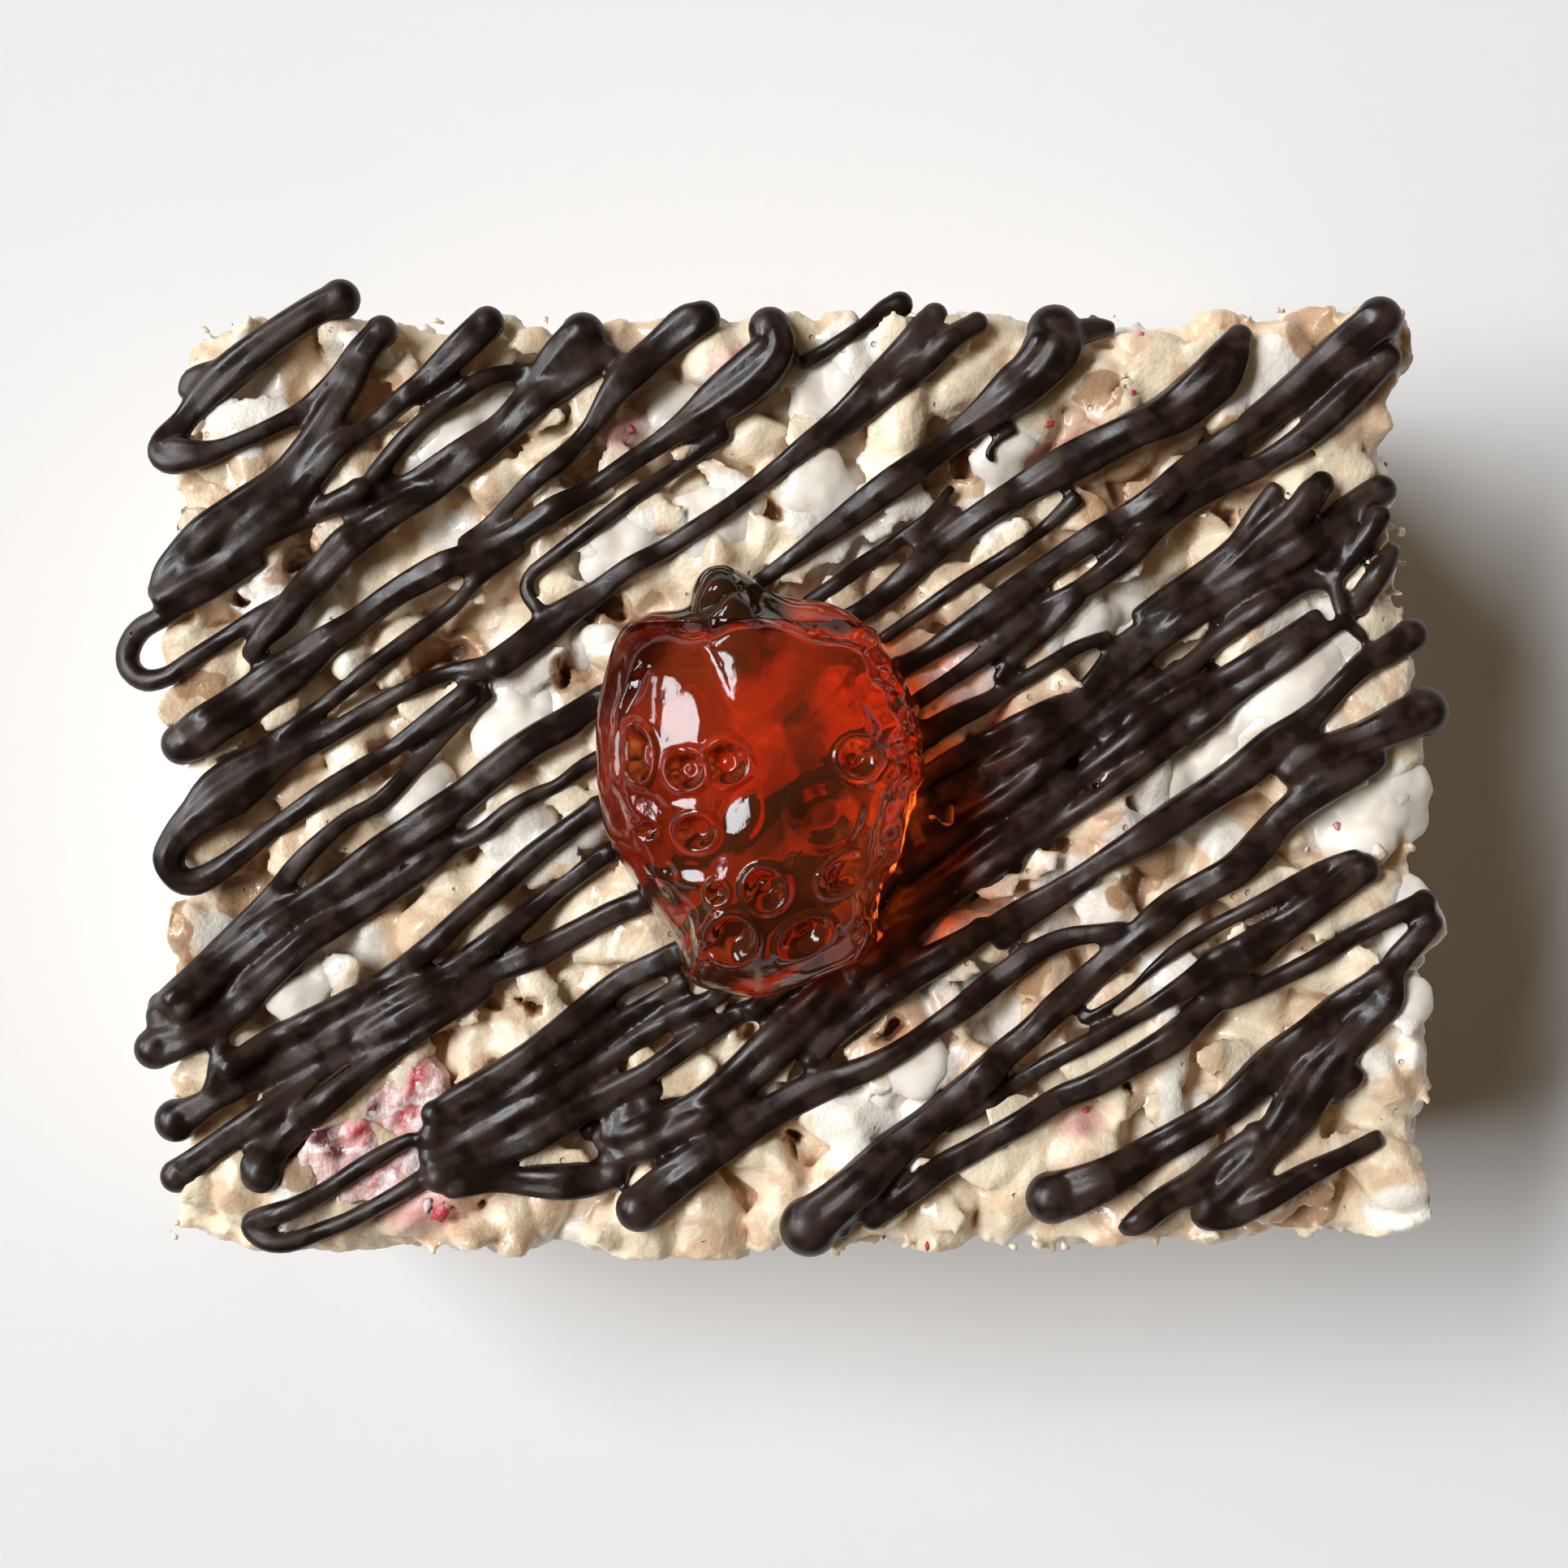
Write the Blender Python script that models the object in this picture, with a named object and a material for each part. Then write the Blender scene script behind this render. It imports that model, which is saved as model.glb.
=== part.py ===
"""Crisped-rice treat: a hand-cut block of puffed rice, chocolate drizzle over its top
and a two-coloured jelly strawberry resting on the drizzle.

The frame has its origin at the middle of the block's base, +Z up, +X along the long
side. Sizes below are in millimetres and are multiplied by MM when a shape is placed.
"""

import math
import random

import bmesh
import bpy
from mathutils import Matrix, Vector, noise

MM = 0.001
GAP = 0.3
MERGE_WITHIN = 1e-6
SEED = 11

# The block: a slightly tapered slab, cut by hand, so no two sides are parallel.
CORNERS = {
    "back_left": (-29.6, 22.5),
    "back_right": (29.8, 22.7),
    "front_right": (30.8, -22.4),
    "front_left": (-30.5, -22.6),
}
CORE_TOP = 27.3
CORE_CUTS = 3
CORE_LUMP = 0.5
LUMP_SPACING = 14.0
EDGE_SHARE = 0.001

# Puffed rice: long half axis, short half axis and thickness half axis.
GRAIN = (3.3, 1.75, 1.55)
GRAIN_VARIES = 0.16
GRAIN_TILT = 0.45
# No grain reaches lower than this over the flat base.
GRAIN_LIFT = 0.15
SIDE_SPACING = 7.3
SIDE_ROWS = 5
# How far a grain may stand from its place in the rows, in shares of a row or column.
SIDE_ALONG = (0.1, 0.6)
SIDE_UP = (0.25, 0.75)
CORNER_SHARE = 0.02
GRAIN_PROUD = 1.15
GRAIN_PROUD_VARIES = (-0.25, 0.35)
TOP_COLUMNS = 8
TOP_ROWS = 6
TOP_PROUD = 0.95
TOP_PROUD_VARIES = (-0.2, 0.3)
TOP_SPREAD = (0.2, 0.8)
TOP_MARGIN = 0.03

# Drizzle: its middle line lies a little above the core, and it is flatter than wide.
DRIZZLE_Z = CORE_TOP + 0.45
DRIZZLE_FLAT = 0.85
DROOP = 0.3
DROOP_POWER = 1.5
BLOB_WIDTH = 1.9
# How far such an end reaches on and how wide it still is there, in shares of its width.
BLOB_REACH = 0.4
BLOB_END = 0.5
# Faces of the fused block that turn by less than this many degrees become one.
FLAT_WITHIN = 3.0

# Each strand is laid by hand across the block: places (x, y) and the full width there.
STRANDS_BACK_LEFT = (
    ((-22.4, 24.0, 1.9), (-26.0, 21.9, 2.1), (-28.0, 20.3, 2.0), (-30.3, 17.9, 1.3),
     (-31.0, 16.8, 1.9), (-28.0, 16.5, 1.1), (-24.3, 18.4, 1.1), (-21.5, 21.1, 1.4),
     (-20.3, 22.4, 1.6)),
    ((-20.3, 22.3, 1.7), (-22.3, 19.1, 1.4), (-24.4, 16.1, 1.5), (-27.4, 13.6, 1.7),
     (-29.3, 12.1, 1.8), (-31.4, 9.3, 1.6)),
    ((-15.0, 22.6, 1.8), (-17.7, 20.1, 1.5), (-20.9, 17.7, 1.3), (-23.8, 15.1, 1.5),
     (-27.3, 12.0, 1.7), (-29.3, 10.5, 1.6), (-31.0, 9.2, 1.4)),
    ((-26.4, 10.9, 1.0), (-29.8, 8.9, 1.0), (-32.6, 7.5, 1.3), (-33.3, 6.5, 1.4), (-33.2, 5.6, 1.4),
     (-32.3, 5.0, 1.3), (-30.0, 5.9, 1.0), (-27.0, 7.8, 1.1), (-24.3, 9.4, 1.1)),
    ((-10.4, 22.2, 2.2), (-13.1, 19.5, 1.3), (-16.2, 16.7, 0.8), (-18.5, 15.3, 0.8),
     (-20.7, 14.2, 0.7), (-22.3, 13.1, 0.7)),
    ((-9.2, 21.1, 1.3), (-12.4, 18.9, 1.7), (-14.5, 17.0, 1.3), (-16.5, 15.4, 1.3),
     (-18.7, 13.9, 1.4), (-20.9, 12.6, 1.6), (-23.8, 9.9, 1.9), (-26.2, 7.1, 1.3),
     (-27.0, 6.2, 1.0)),
    ((-4.5, 22.9, 1.7), (-6.8, 21.4, 1.8), (-9.2, 18.8, 1.4), (-11.5, 15.9, 1.2),
     (-14.6, 13.3, 0.9), (-16.4, 11.7, 0.9)),
    ((-1.3, 22.4, 2.2), (-1.0, 21.3, 2.7), (-2.0, 20.1, 2.8), (-3.9, 18.7, 2.3), (-5.9, 17.3, 1.4),
     (-8.0, 15.9, 1.1), (-10.0, 14.5, 1.1), (-12.0, 13.3, 1.5), (-14.0, 12.1, 1.4),
     (-18.0, 10.3, 1.5), (-20.0, 9.1, 1.5), (-22.0, 7.5, 1.7), (-24.0, 6.1, 2.0), (-26.0, 4.7, 2.3),
     (-28.0, 3.3, 2.5), (-30.4, 1.8, 2.0)),
)
STRANDS_FRONT_LEFT = (
    ((-15.0, 5.6, 1.3), (-19.0, 4.6, 1.1), (-23.0, 2.3, 1.2), (-26.6, 0.5, 2.3), (-28.4, -0.8, 2.7),
     (-30.6, -3.0, 1.7), (-31.0, -4.0, 1.7), (-30.5, -4.9, 1.6), (-28.2, -4.2, 1.2),
     (-26.0, -2.5, 1.1), (-24.0, -1.1, 1.1), (-22.0, 0.3, 1.1), (-20.0, 1.6, 1.1),
     (-18.0, 3.0, 1.1), (-16.0, 4.5, 1.1)),
    ((-15.2, 4.3, 0.8), (-17.0, 2.6, 0.7), (-18.7, 0.9, 0.8), (-20.4, -0.9, 1.0),
     (-23.8, -3.4, 1.0), (-26.5, -6.3, 1.2), (-29.3, -9.2, 1.5), (-31.4, -11.3, 1.6)),
    ((-9.3, 4.3, 1.4), (-13.0, 1.9, 1.7), (-16.5, -0.9, 2.0), (-18.4, -2.2, 1.8),
     (-20.4, -3.4, 1.7), (-22.4, -4.8, 1.7), (-24.4, -6.2, 1.7), (-26.4, -7.7, 1.8),
     (-28.4, -9.3, 1.9), (-30.3, -11.0, 2.2), (-31.2, -11.7, 2.0)),
    ((-16.6, -2.9, 1.2), (-20.0, -5.2, 1.6), (-22.0, -6.5, 1.6), (-24.0, -7.9, 1.6),
     (-26.0, -9.7, 1.7), (-27.9, -11.4, 1.9), (-31.6, -13.2, 2.0)),
    ((-9.6, -1.2, 1.3), (-13.2, -3.9, 1.3), (-15.0, -5.5, 1.3), (-18.0, -8.2, 1.3),
     (-20.0, -9.7, 1.3), (-24.0, -11.8, 1.3), (-28.0, -14.2, 1.3)),
    ((-9.1, -3.5, 1.2), (-12.0, -5.6, 1.2), (-15.4, -8.2, 1.3), (-17.5, -9.6, 1.3),
     (-19.7, -10.9, 1.3), (-22.0, -12.2, 1.2), (-24.3, -13.5, 1.2), (-26.5, -14.7, 1.3),
     (-28.6, -15.7, 1.5), (-30.8, -16.9, 2.1)),
    ((-7.7, -6.0, 1.3), (-10.7, -7.4, 1.4), (-14.5, -9.3, 1.4), (-18.5, -11.3, 1.3),
     (-22.5, -13.7, 1.3), (-24.5, -15.1, 1.3), (-26.5, -16.6, 1.4), (-28.5, -18.0, 1.5),
     (-30.8, -19.7, 1.7)),
    ((-15.3, -10.4, 1.0), (-19.0, -12.7, 1.2), (-21.0, -14.1, 1.3), (-23.0, -15.7, 1.5),
     (-25.6, -18.0, 1.7), (-26.3, -19.3, 2.3)),
    ((-18.8, -17.6, 0.8), (-21.5, -19.1, 1.0), (-24.5, -20.9, 1.2), (-26.9, -22.0, 1.3),
     (-26.2, -22.7, 1.1), (-23.5, -22.3, 1.1), (-20.5, -20.9, 1.0), (-18.4, -19.6, 1.0)),
    ((-17.9, -16.5, 1.5), (-14.5, -14.4, 1.5), (-12.5, -13.0, 1.5), (-10.5, -11.5, 1.5),
     (-8.5, -9.9, 1.4), (-5.4, -8.3, 1.2)),
    ((-18.1, -18.6, 1.4), (-13.5, -16.3, 1.3), (-11.0, -14.9, 1.3), (-8.5, -13.3, 1.3),
     (-6.0, -11.7, 1.2), (-4.0, -10.7, 1.0)),
    ((-17.7, -19.6, 1.5), (-15.5, -18.8, 1.5), (-13.0, -17.7, 1.5), (-11.0, -16.5, 1.4),
     (-7.0, -14.2, 1.3), (-5.0, -12.8, 1.3), (-2.0, -11.2, 1.2)),
    ((-17.0, -20.1, 1.1), (-13.3, -19.8, 1.7), (-10.0, -19.7, 1.8), (-8.8, -19.5, 1.5)),
)
STRANDS_MIDDLE = (
    ((-9.3, -17.8, 1.0), (-7.0, -16.9, 1.1), (-3.3, -14.6, 1.4), (-0.2, -11.7, 1.4),
     (2.8, -9.1, 1.4)),
    ((-9.4, -18.9, 1.2), (-5.5, -17.1, 1.3), (-3.5, -15.9, 1.3), (-1.5, -14.3, 1.3),
     (0.3, -12.6, 1.4), (3.2, -9.9, 1.4)),
    ((-7.8, -21.1, 2.4), (-4.8, -18.8, 2.0), (-1.0, -16.3, 1.8), (3.0, -14.4, 1.4),
     (7.0, -12.1, 1.3), (9.0, -10.7, 1.5), (12.0, -8.5, 1.3), (15.0, -7.5, 1.0), (16.3, -7.3, 0.8)),
    ((0.7, -14.0, 1.2), (2.9, -11.7, 1.7), (6.0, -9.4, 1.8), (9.4, -7.3, 1.4)),
    ((7.0, 23.2, 1.3), (4.2, 19.9, 1.7), (2.4, 18.1, 1.4), (0.0, 16.1, 1.1), (-2.0, 14.5, 1.1),
     (-4.0, 13.0, 1.1), (-6.0, 11.7, 1.1), (-10.0, 9.2, 1.4), (-12.0, 7.9, 1.6), (-14.8, 5.6, 1.6)),
    ((9.1, 22.7, 1.2), (6.3, 20.5, 1.4), (3.2, 17.9, 1.0), (1.5, 16.7, 0.8)),
    ((12.8, 22.3, 2.5), (12.5, 21.1, 3.2), (10.1, 18.6, 2.1), (8.0, 17.1, 1.6), (5.0, 14.8, 1.6),
     (2.0, 12.6, 1.4), (-0.3, 10.9, 1.1), (-1.9, 9.8, 0.9)),
    ((13.4, 21.9, 1.5), (15.8, 22.5, 0.8)),
)
STRANDS_BACK_RIGHT = (
    ((22.0, 22.0, 1.4), (20.3, 19.6, 2.5), (18.5, 18.2, 2.5), (14.5, 16.2, 2.1), (10.5, 13.9, 1.7),
     (8.0, 12.2, 1.6), (5.0, 9.7, 1.3), (2.3, 7.9, 1.0)),
    ((28.6, 22.6, 2.4), (25.0, 19.5, 2.0), (23.0, 17.9, 1.9), (21.0, 16.5, 1.8), (17.9, 14.0, 1.6),
     (14.8, 12.0, 1.6), (11.0, 9.4, 1.5), (8.0, 7.3, 1.4), (5.0, 5.5, 1.3)),
    ((29.2, 21.0, 1.6), (27.3, 18.9, 1.7), (25.2, 17.0, 1.6), (23.2, 15.7, 1.4), (19.8, 14.0, 1.3),
     (17.2, 11.9, 1.3), (14.3, 9.6, 1.2), (11.8, 8.2, 1.2), (9.0, 5.9, 1.1), (6.0, 3.9, 0.9)),
    ((29.2, 14.5, 1.7), (26.0, 12.3, 1.5), (22.3, 9.7, 1.3), (20.3, 8.5, 1.3), (17.0, 6.0, 1.3),
     (13.8, 3.2, 1.2), (10.6, 1.0, 1.0), (6.6, -1.1, 1.2)),
    ((26.0, 14.7, 1.3), (23.2, 11.8, 1.4), (20.3, 9.3, 1.2), (17.4, 7.5, 1.2), (15.1, 5.3, 1.1),
     (12.6, 3.6, 1.2), (9.6, 2.0, 1.2), (6.3, 0.1, 1.2)),
    ((27.2, 7.9, 0.8), (24.8, 6.4, 1.1), (21.6, 4.0, 1.2), (18.0, 1.4, 1.2), (16.0, -0.1, 1.2),
     (14.0, -1.5, 1.1), (12.0, -2.8, 1.1), (10.0, -4.1, 1.2), (8.0, -5.5, 1.3), (6.0, -7.1, 1.4),
     (4.0, -8.8, 1.4), (3.0, -9.5, 1.4)),
    ((15.6, 7.2, 0.7), (12.5, 5.7, 0.9), (9.5, 3.9, 1.2), (6.3, 2.2, 1.4)),
)
STRANDS_FRONT_RIGHT = (
    ((30.7, 7.3, 1.7), (28.0, 5.7, 1.5), (25.9, 3.6, 1.4), (23.5, 1.7, 1.9), (20.5, -0.7, 2.1),
     (17.5, -2.6, 1.8), (14.5, -4.5, 1.3), (11.5, -6.2, 1.1), (9.5, -7.3, 1.0)),
    ((31.2, 3.5, 2.4), (28.2, 2.2, 2.1), (25.2, 1.1, 1.7), (24.4, 0.4, 1.5)),
    ((28.7, 1.1, 1.3), (25.7, -0.5, 2.0), (23.2, -3.0, 1.9), (20.0, -5.3, 1.8), (17.0, -7.6, 1.6),
     (14.2, -10.2, 1.6), (11.2, -12.8, 1.7), (8.2, -15.5, 1.7), (4.9, -18.2, 2.1),
     (1.6, -21.1, 2.8), (0.6, -22.0, 3.0)),
    ((28.2, -4.3, 1.6), (25.5, -6.2, 1.7), (22.3, -8.3, 1.9), (18.7, -10.4, 1.2),
     (15.0, -12.6, 1.0), (11.0, -15.0, 1.0), (9.0, -16.3, 1.1), (7.3, -17.2, 1.0)),
    ((22.3, -9.7, 1.4), (18.8, -12.4, 1.6), (15.0, -14.8, 1.4), (11.0, -17.0, 1.4),
     (9.0, -18.2, 1.4), (5.2, -20.6, 1.4), (3.7, -21.6, 1.4)),
    ((31.5, -6.9, 1.3), (29.5, -9.5, 1.5), (28.3, -12.0, 1.7), (25.8, -14.6, 2.4),
     (24.8, -16.0, 2.6), (22.7, -18.7, 2.0), (20.5, -21.2, 1.8)),
    ((27.5, -14.5, 1.7), (26.6, -15.3, 1.7)),
    ((29.0, -9.5, 1.2), (26.0, -11.8, 1.4), (23.0, -14.4, 1.9), (21.0, -16.3, 1.7),
     (19.0, -17.5, 1.8), (17.0, -18.7, 2.0), (12.6, -20.6, 2.7)),
    ((28.8, -17.7, 1.1), (25.0, -19.5, 1.4), (21.5, -21.4, 1.7), (20.3, -21.5, 1.7)),
    ((23.0, -17.4, 1.6), (20.0, -19.8, 1.6), (16.3, -22.1, 1.1)),
)
STRANDS = (
    STRANDS_BACK_LEFT + STRANDS_FRONT_LEFT + STRANDS_MIDDLE + STRANDS_BACK_RIGHT + STRANDS_FRONT_RIGHT
)
THICKEST_UNDER_JELLY = 1.8

# A chip of dried fruit that two strands cross: middle, half sizes and turn in degrees.
FRUIT_CHIP_AT = (-20.9, -16.2)
FRUIT_CHIP_HALF = (3.4, 1.6, 1.0)
FRUIT_CHIP_TURN = 40.0
FRUIT_CHIP_Z = CORE_TOP + 0.1
FRUIT_CHIP_ROUGH = 0.25
FRUIT_CHIP_DETAIL = 2.3

# The jelly strawberry: outline of its widest level, walked round from its tip at the back.
JELLY_OUTLINE = (
    (-3.7, 9.9), (-5.6, 8.4), (-8.2, 7.0), (-9.3, 4.3), (-9.5, 0.6), (-8.4, -3.8), (-6.2, -7.2),
    (-5.1, -9.6), (-1.5, -10.2), (2.4, -8.9), (3.8, -6.4), (4.9, -3.4), (6.0, 0.5), (5.5, 4.2),
    (4.0, 6.9), (1.4, 8.4), (-1.5, 9.0),
)
JELLY_BASE = DRIZZLE_Z + 0.5 * THICKEST_UNDER_JELLY * DRIZZLE_FLAT + GAP
JELLY_HEIGHT = 9.0
# The part of the top that the sweet hides: an ellipse with this middle and these half axes.
JELLY_MIDDLE = (-1.7, -0.5)
JELLY_COVERS = (8.5, 10.5)
JELLY_ROUND = 56
JELLY_RINGS = 12
JELLY_EDGE_LEVEL = 0.2
JELLY_FOOT = 0.9
JELLY_FULL = 0.62
JELLY_RISE = 0.9
JELLY_SHARP = 50.0
LEAF_LINE = 7.5
# Seed dimples: place, radius and depth.
DIMPLES = (
    (-7.3, 1.2, 1.0, 0.5), (-4.9, 0.5, 1.2, 0.6), (-3.2, 0.7, 1.2, 0.6), (-4.7, -2.7, 1.2, 0.6),
    (-1.5, -4.9, 1.2, 0.6), (-2.8, -7.0, 1.3, 0.6), (0.5, -7.0, 1.3, 0.6), (2.1, -4.2, 1.2, 0.6),
    (2.8, 1.0, 1.2, 0.5), (1.2, -1.5, 1.5, 0.5),
)


def clear_scene():
    """Remove everything that is in the file already."""
    for old in list(bpy.data.objects):
        bpy.data.objects.remove(old, do_unlink=True)


def finish(name, colour, roughness):
    """A plain Principled material."""
    material = bpy.data.materials.new(name)
    material.use_nodes = True
    shader = material.node_tree.nodes["Principled BSDF"]
    shader.inputs["Base Color"].default_value = (*colour, 1.0)
    shader.inputs["Roughness"].default_value = roughness
    shader.inputs["Metallic"].default_value = 0.0
    return material


def mesh_object(name, shape, collection):
    """Turn a bmesh into an object of the given collection."""
    mesh = bpy.data.meshes.new(name)
    shape.to_mesh(mesh)
    shape.free()
    made = bpy.data.objects.new(name, mesh)
    collection.objects.link(made)
    return made


def between_corners(u, v):
    """The place in the block's outline for u along X and v along Y, both from 0 to 1."""
    front = Vector(CORNERS["front_left"]).lerp(Vector(CORNERS["front_right"]), u)
    back = Vector(CORNERS["back_left"]).lerp(Vector(CORNERS["back_right"]), u)
    return front.lerp(back, v)


def lump(point):
    """Smooth unevenness of the block at a point, from -1 to 1."""
    return noise.noise(Vector(point) / LUMP_SPACING + Vector((SEED, 0.0, 0.0)))


def edge_of(share):
    """-1 at the near edge of the slab, 1 at its far edge and 0 between them."""
    if share < EDGE_SHARE:
        return -1.0
    if share > 1.0 - EDGE_SHARE:
        return 1.0
    return 0.0


def block_core():
    """The slab under the grains, flat below and gently lumpy elsewhere."""
    shape = bmesh.new()
    bmesh.ops.create_cube(shape, size=1.0)
    bmesh.ops.subdivide_edges(shape, edges=shape.edges[:], cuts=CORE_CUTS, use_grid_fill=True)
    for vert in shape.verts:
        u, v, w = (axis + 0.5 for axis in vert.co)
        flat = between_corners(u, v)
        swell = CORE_LUMP * lump((flat.x, flat.y, w * CORE_TOP))
        if edge_of(w) >= 0.0:
            flat += Vector((edge_of(u), edge_of(v))) * swell
        top = swell if edge_of(w) > 0.0 else 0.0
        vert.co = Vector((flat.x, flat.y, w * CORE_TOP + top)) * MM
    bmesh.ops.triangulate(shape, faces=shape.faces[:])
    return mesh_object("crispy_block", shape, bpy.context.scene.collection)


def puffed_grain(centre, along, outward, draw, collection, proud):
    """One puffed grain lying against a face, its long axis turned at random in that face."""
    spin = Matrix.Rotation(draw.uniform(0.0, math.pi), 3, outward)
    tilt = Matrix.Rotation(draw.uniform(-GRAIN_TILT, GRAIN_TILT), 3, outward.cross(along))
    long_axis = (spin @ tilt @ along).normalized()
    side_axis = outward.cross(long_axis).normalized()
    up_axis = long_axis.cross(side_axis)
    size = [half * draw.uniform(1.0 - GRAIN_VARIES, 1.0 + GRAIN_VARIES) for half in GRAIN]
    frame = Matrix((long_axis * size[0], side_axis * size[1], up_axis * size[2])).transposed()
    middle = centre + outward * (proud - size[2])
    shape = bmesh.new()
    bmesh.ops.create_icosphere(shape, subdivisions=1, radius=1.0)
    for vert in shape.verts:
        vert.co = frame @ vert.co + middle
    lowest = min(vert.co.z for vert in shape.verts)
    lift = max(0.0, GRAIN_LIFT - lowest)
    for vert in shape.verts:
        vert.co = (vert.co + Vector((0.0, 0.0, lift))) * MM
    mesh_object("grain", shape, collection)


def side_grains(collection, draw):
    """Grains over the four cut sides, in staggered rows."""
    ring = ["front_left", "front_right", "back_right", "back_left"]
    for index, name in enumerate(ring):
        start = Vector(CORNERS[name])
        end = Vector(CORNERS[ring[(index + 1) % len(ring)]])
        run = end - start
        along = Vector((run.x, run.y, 0.0)).normalized()
        outward = Vector((along.y, -along.x, 0.0))
        columns = round(run.length / SIDE_SPACING)
        for row in range(SIDE_ROWS):
            for column in range(columns):
                share = (column + 0.5 * (row % 2) + draw.uniform(*SIDE_ALONG)) / columns
                flat = start.lerp(end, min(max(share, CORNER_SHARE), 1.0 - CORNER_SHARE))
                height = (row + draw.uniform(*SIDE_UP)) * CORE_TOP / SIDE_ROWS
                centre = Vector((flat.x, flat.y, height))
                proud = GRAIN_PROUD + draw.uniform(*GRAIN_PROUD_VARIES)
                puffed_grain(centre, along, outward, draw, collection, proud)


def top_grains(collection, draw):
    """Grains between the strands on top."""
    up = Vector((0.0, 0.0, 1.0))
    for row in range(TOP_ROWS):
        for column in range(TOP_COLUMNS):
            u = (column + draw.uniform(*TOP_SPREAD)) / TOP_COLUMNS
            v = (row + draw.uniform(*TOP_SPREAD)) / TOP_ROWS
            inner = 1.0 - 2.0 * TOP_MARGIN
            flat = between_corners(TOP_MARGIN + inner * u, TOP_MARGIN + inner * v)
            proud = TOP_PROUD + draw.uniform(*TOP_PROUD_VARIES)
            if under_jelly(flat):
                continue
            centre = Vector((flat.x, flat.y, CORE_TOP))
            puffed_grain(centre, Vector((1.0, 0.0, 0.0)), up, draw, collection, proud)


def under_jelly(flat):
    """True where the jelly strawberry covers the top."""
    across = (flat.x - JELLY_MIDDLE[0]) / JELLY_COVERS[0]
    along = (flat.y - JELLY_MIDDLE[1]) / JELLY_COVERS[1]
    return across ** 2 + along ** 2 < 1.0


def outside(x, y):
    """How far a place lies beyond the block's outline."""
    reach_x = max(abs(x) - abs(CORNERS["front_right"][0]), 0.0)
    reach_y = max(abs(y) - abs(CORNERS["back_right"][1]), 0.0)
    return max(reach_x, reach_y)


def strand(route, collection):
    """A flattened tube along a strand's route, a blob at an end drawn in to a round."""
    places = [Vector((x, y, 0.0)) for x, y, _ in route]
    widths = [width for _, _, width in route]
    if widths[0] >= BLOB_WIDTH:
        places.insert(0, places[0] + (places[0] - places[1]).normalized() * BLOB_REACH * widths[0])
        widths.insert(0, BLOB_END * widths[0])
    if widths[-1] >= BLOB_WIDTH:
        places.append(places[-1] + (places[-1] - places[-2]).normalized() * BLOB_REACH * widths[-1])
        widths.append(BLOB_END * widths[-1])
    curve = bpy.data.curves.new("strand", "CURVE")
    curve.dimensions = "3D"
    curve.twist_mode = "Z_UP"
    curve.bevel_depth = MM
    curve.bevel_resolution = 1
    curve.use_fill_caps = True
    spline = curve.splines.new("POLY")
    spline.points.add(len(places) - 1)
    for point, place, width in zip(spline.points, places, widths):
        sag = DROOP * outside(place.x, place.y) ** DROOP_POWER
        point.co = (place.x * MM, place.y * MM, -sag * MM, 1.0)
        point.radius = 0.5 * width
    guide = bpy.data.objects.new("strand_line", curve)
    bpy.context.scene.collection.objects.link(guide)
    graph = bpy.context.evaluated_depsgraph_get()
    tube = bpy.data.meshes.new_from_object(guide.evaluated_get(graph))
    bpy.data.objects.remove(guide, do_unlink=True)
    shape = bmesh.new()
    shape.from_mesh(tube)
    bpy.data.meshes.remove(tube)
    bmesh.ops.remove_doubles(shape, verts=shape.verts[:], dist=MERGE_WITHIN)
    bmesh.ops.recalc_face_normals(shape, faces=shape.faces[:])
    for vert in shape.verts:
        vert.co.z = vert.co.z * DRIZZLE_FLAT + DRIZZLE_Z * MM
    mesh_object("strand", shape, collection)


def fruit_chip(collection):
    """The crumbly chip of dried fruit, sunk a little in the top."""
    shape = bmesh.new()
    bmesh.ops.create_icosphere(shape, subdivisions=2, radius=1.0)
    turn = Matrix.Rotation(math.radians(FRUIT_CHIP_TURN), 3, "Z")
    middle = Vector((*FRUIT_CHIP_AT, FRUIT_CHIP_Z))
    for vert in shape.verts:
        scale = 1.0 + FRUIT_CHIP_ROUGH * noise.noise(vert.co * FRUIT_CHIP_DETAIL)
        stretched = Vector(half * axis * scale for half, axis in zip(FRUIT_CHIP_HALF, vert.co))
        vert.co = (turn @ stretched + middle) * MM
    mesh_object("fruit_chip", shape, collection)


def largest_shell(shape):
    """Delete every connected part of a bmesh except the one that spans most."""
    left = set(shape.verts)
    groups = []
    while left:
        seed = left.pop()
        group = {seed}
        edge = [seed]
        while edge:
            vert = edge.pop()
            for link in vert.link_edges:
                other = link.other_vert(vert)
                if other in left:
                    left.remove(other)
                    group.add(other)
                    edge.append(other)
        groups.append(group)
    groups.sort(key=len)
    scraps = [vert for group in groups[:-1] for vert in group]
    bmesh.ops.delete(shape, geom=scraps, context="VERTS")


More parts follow.
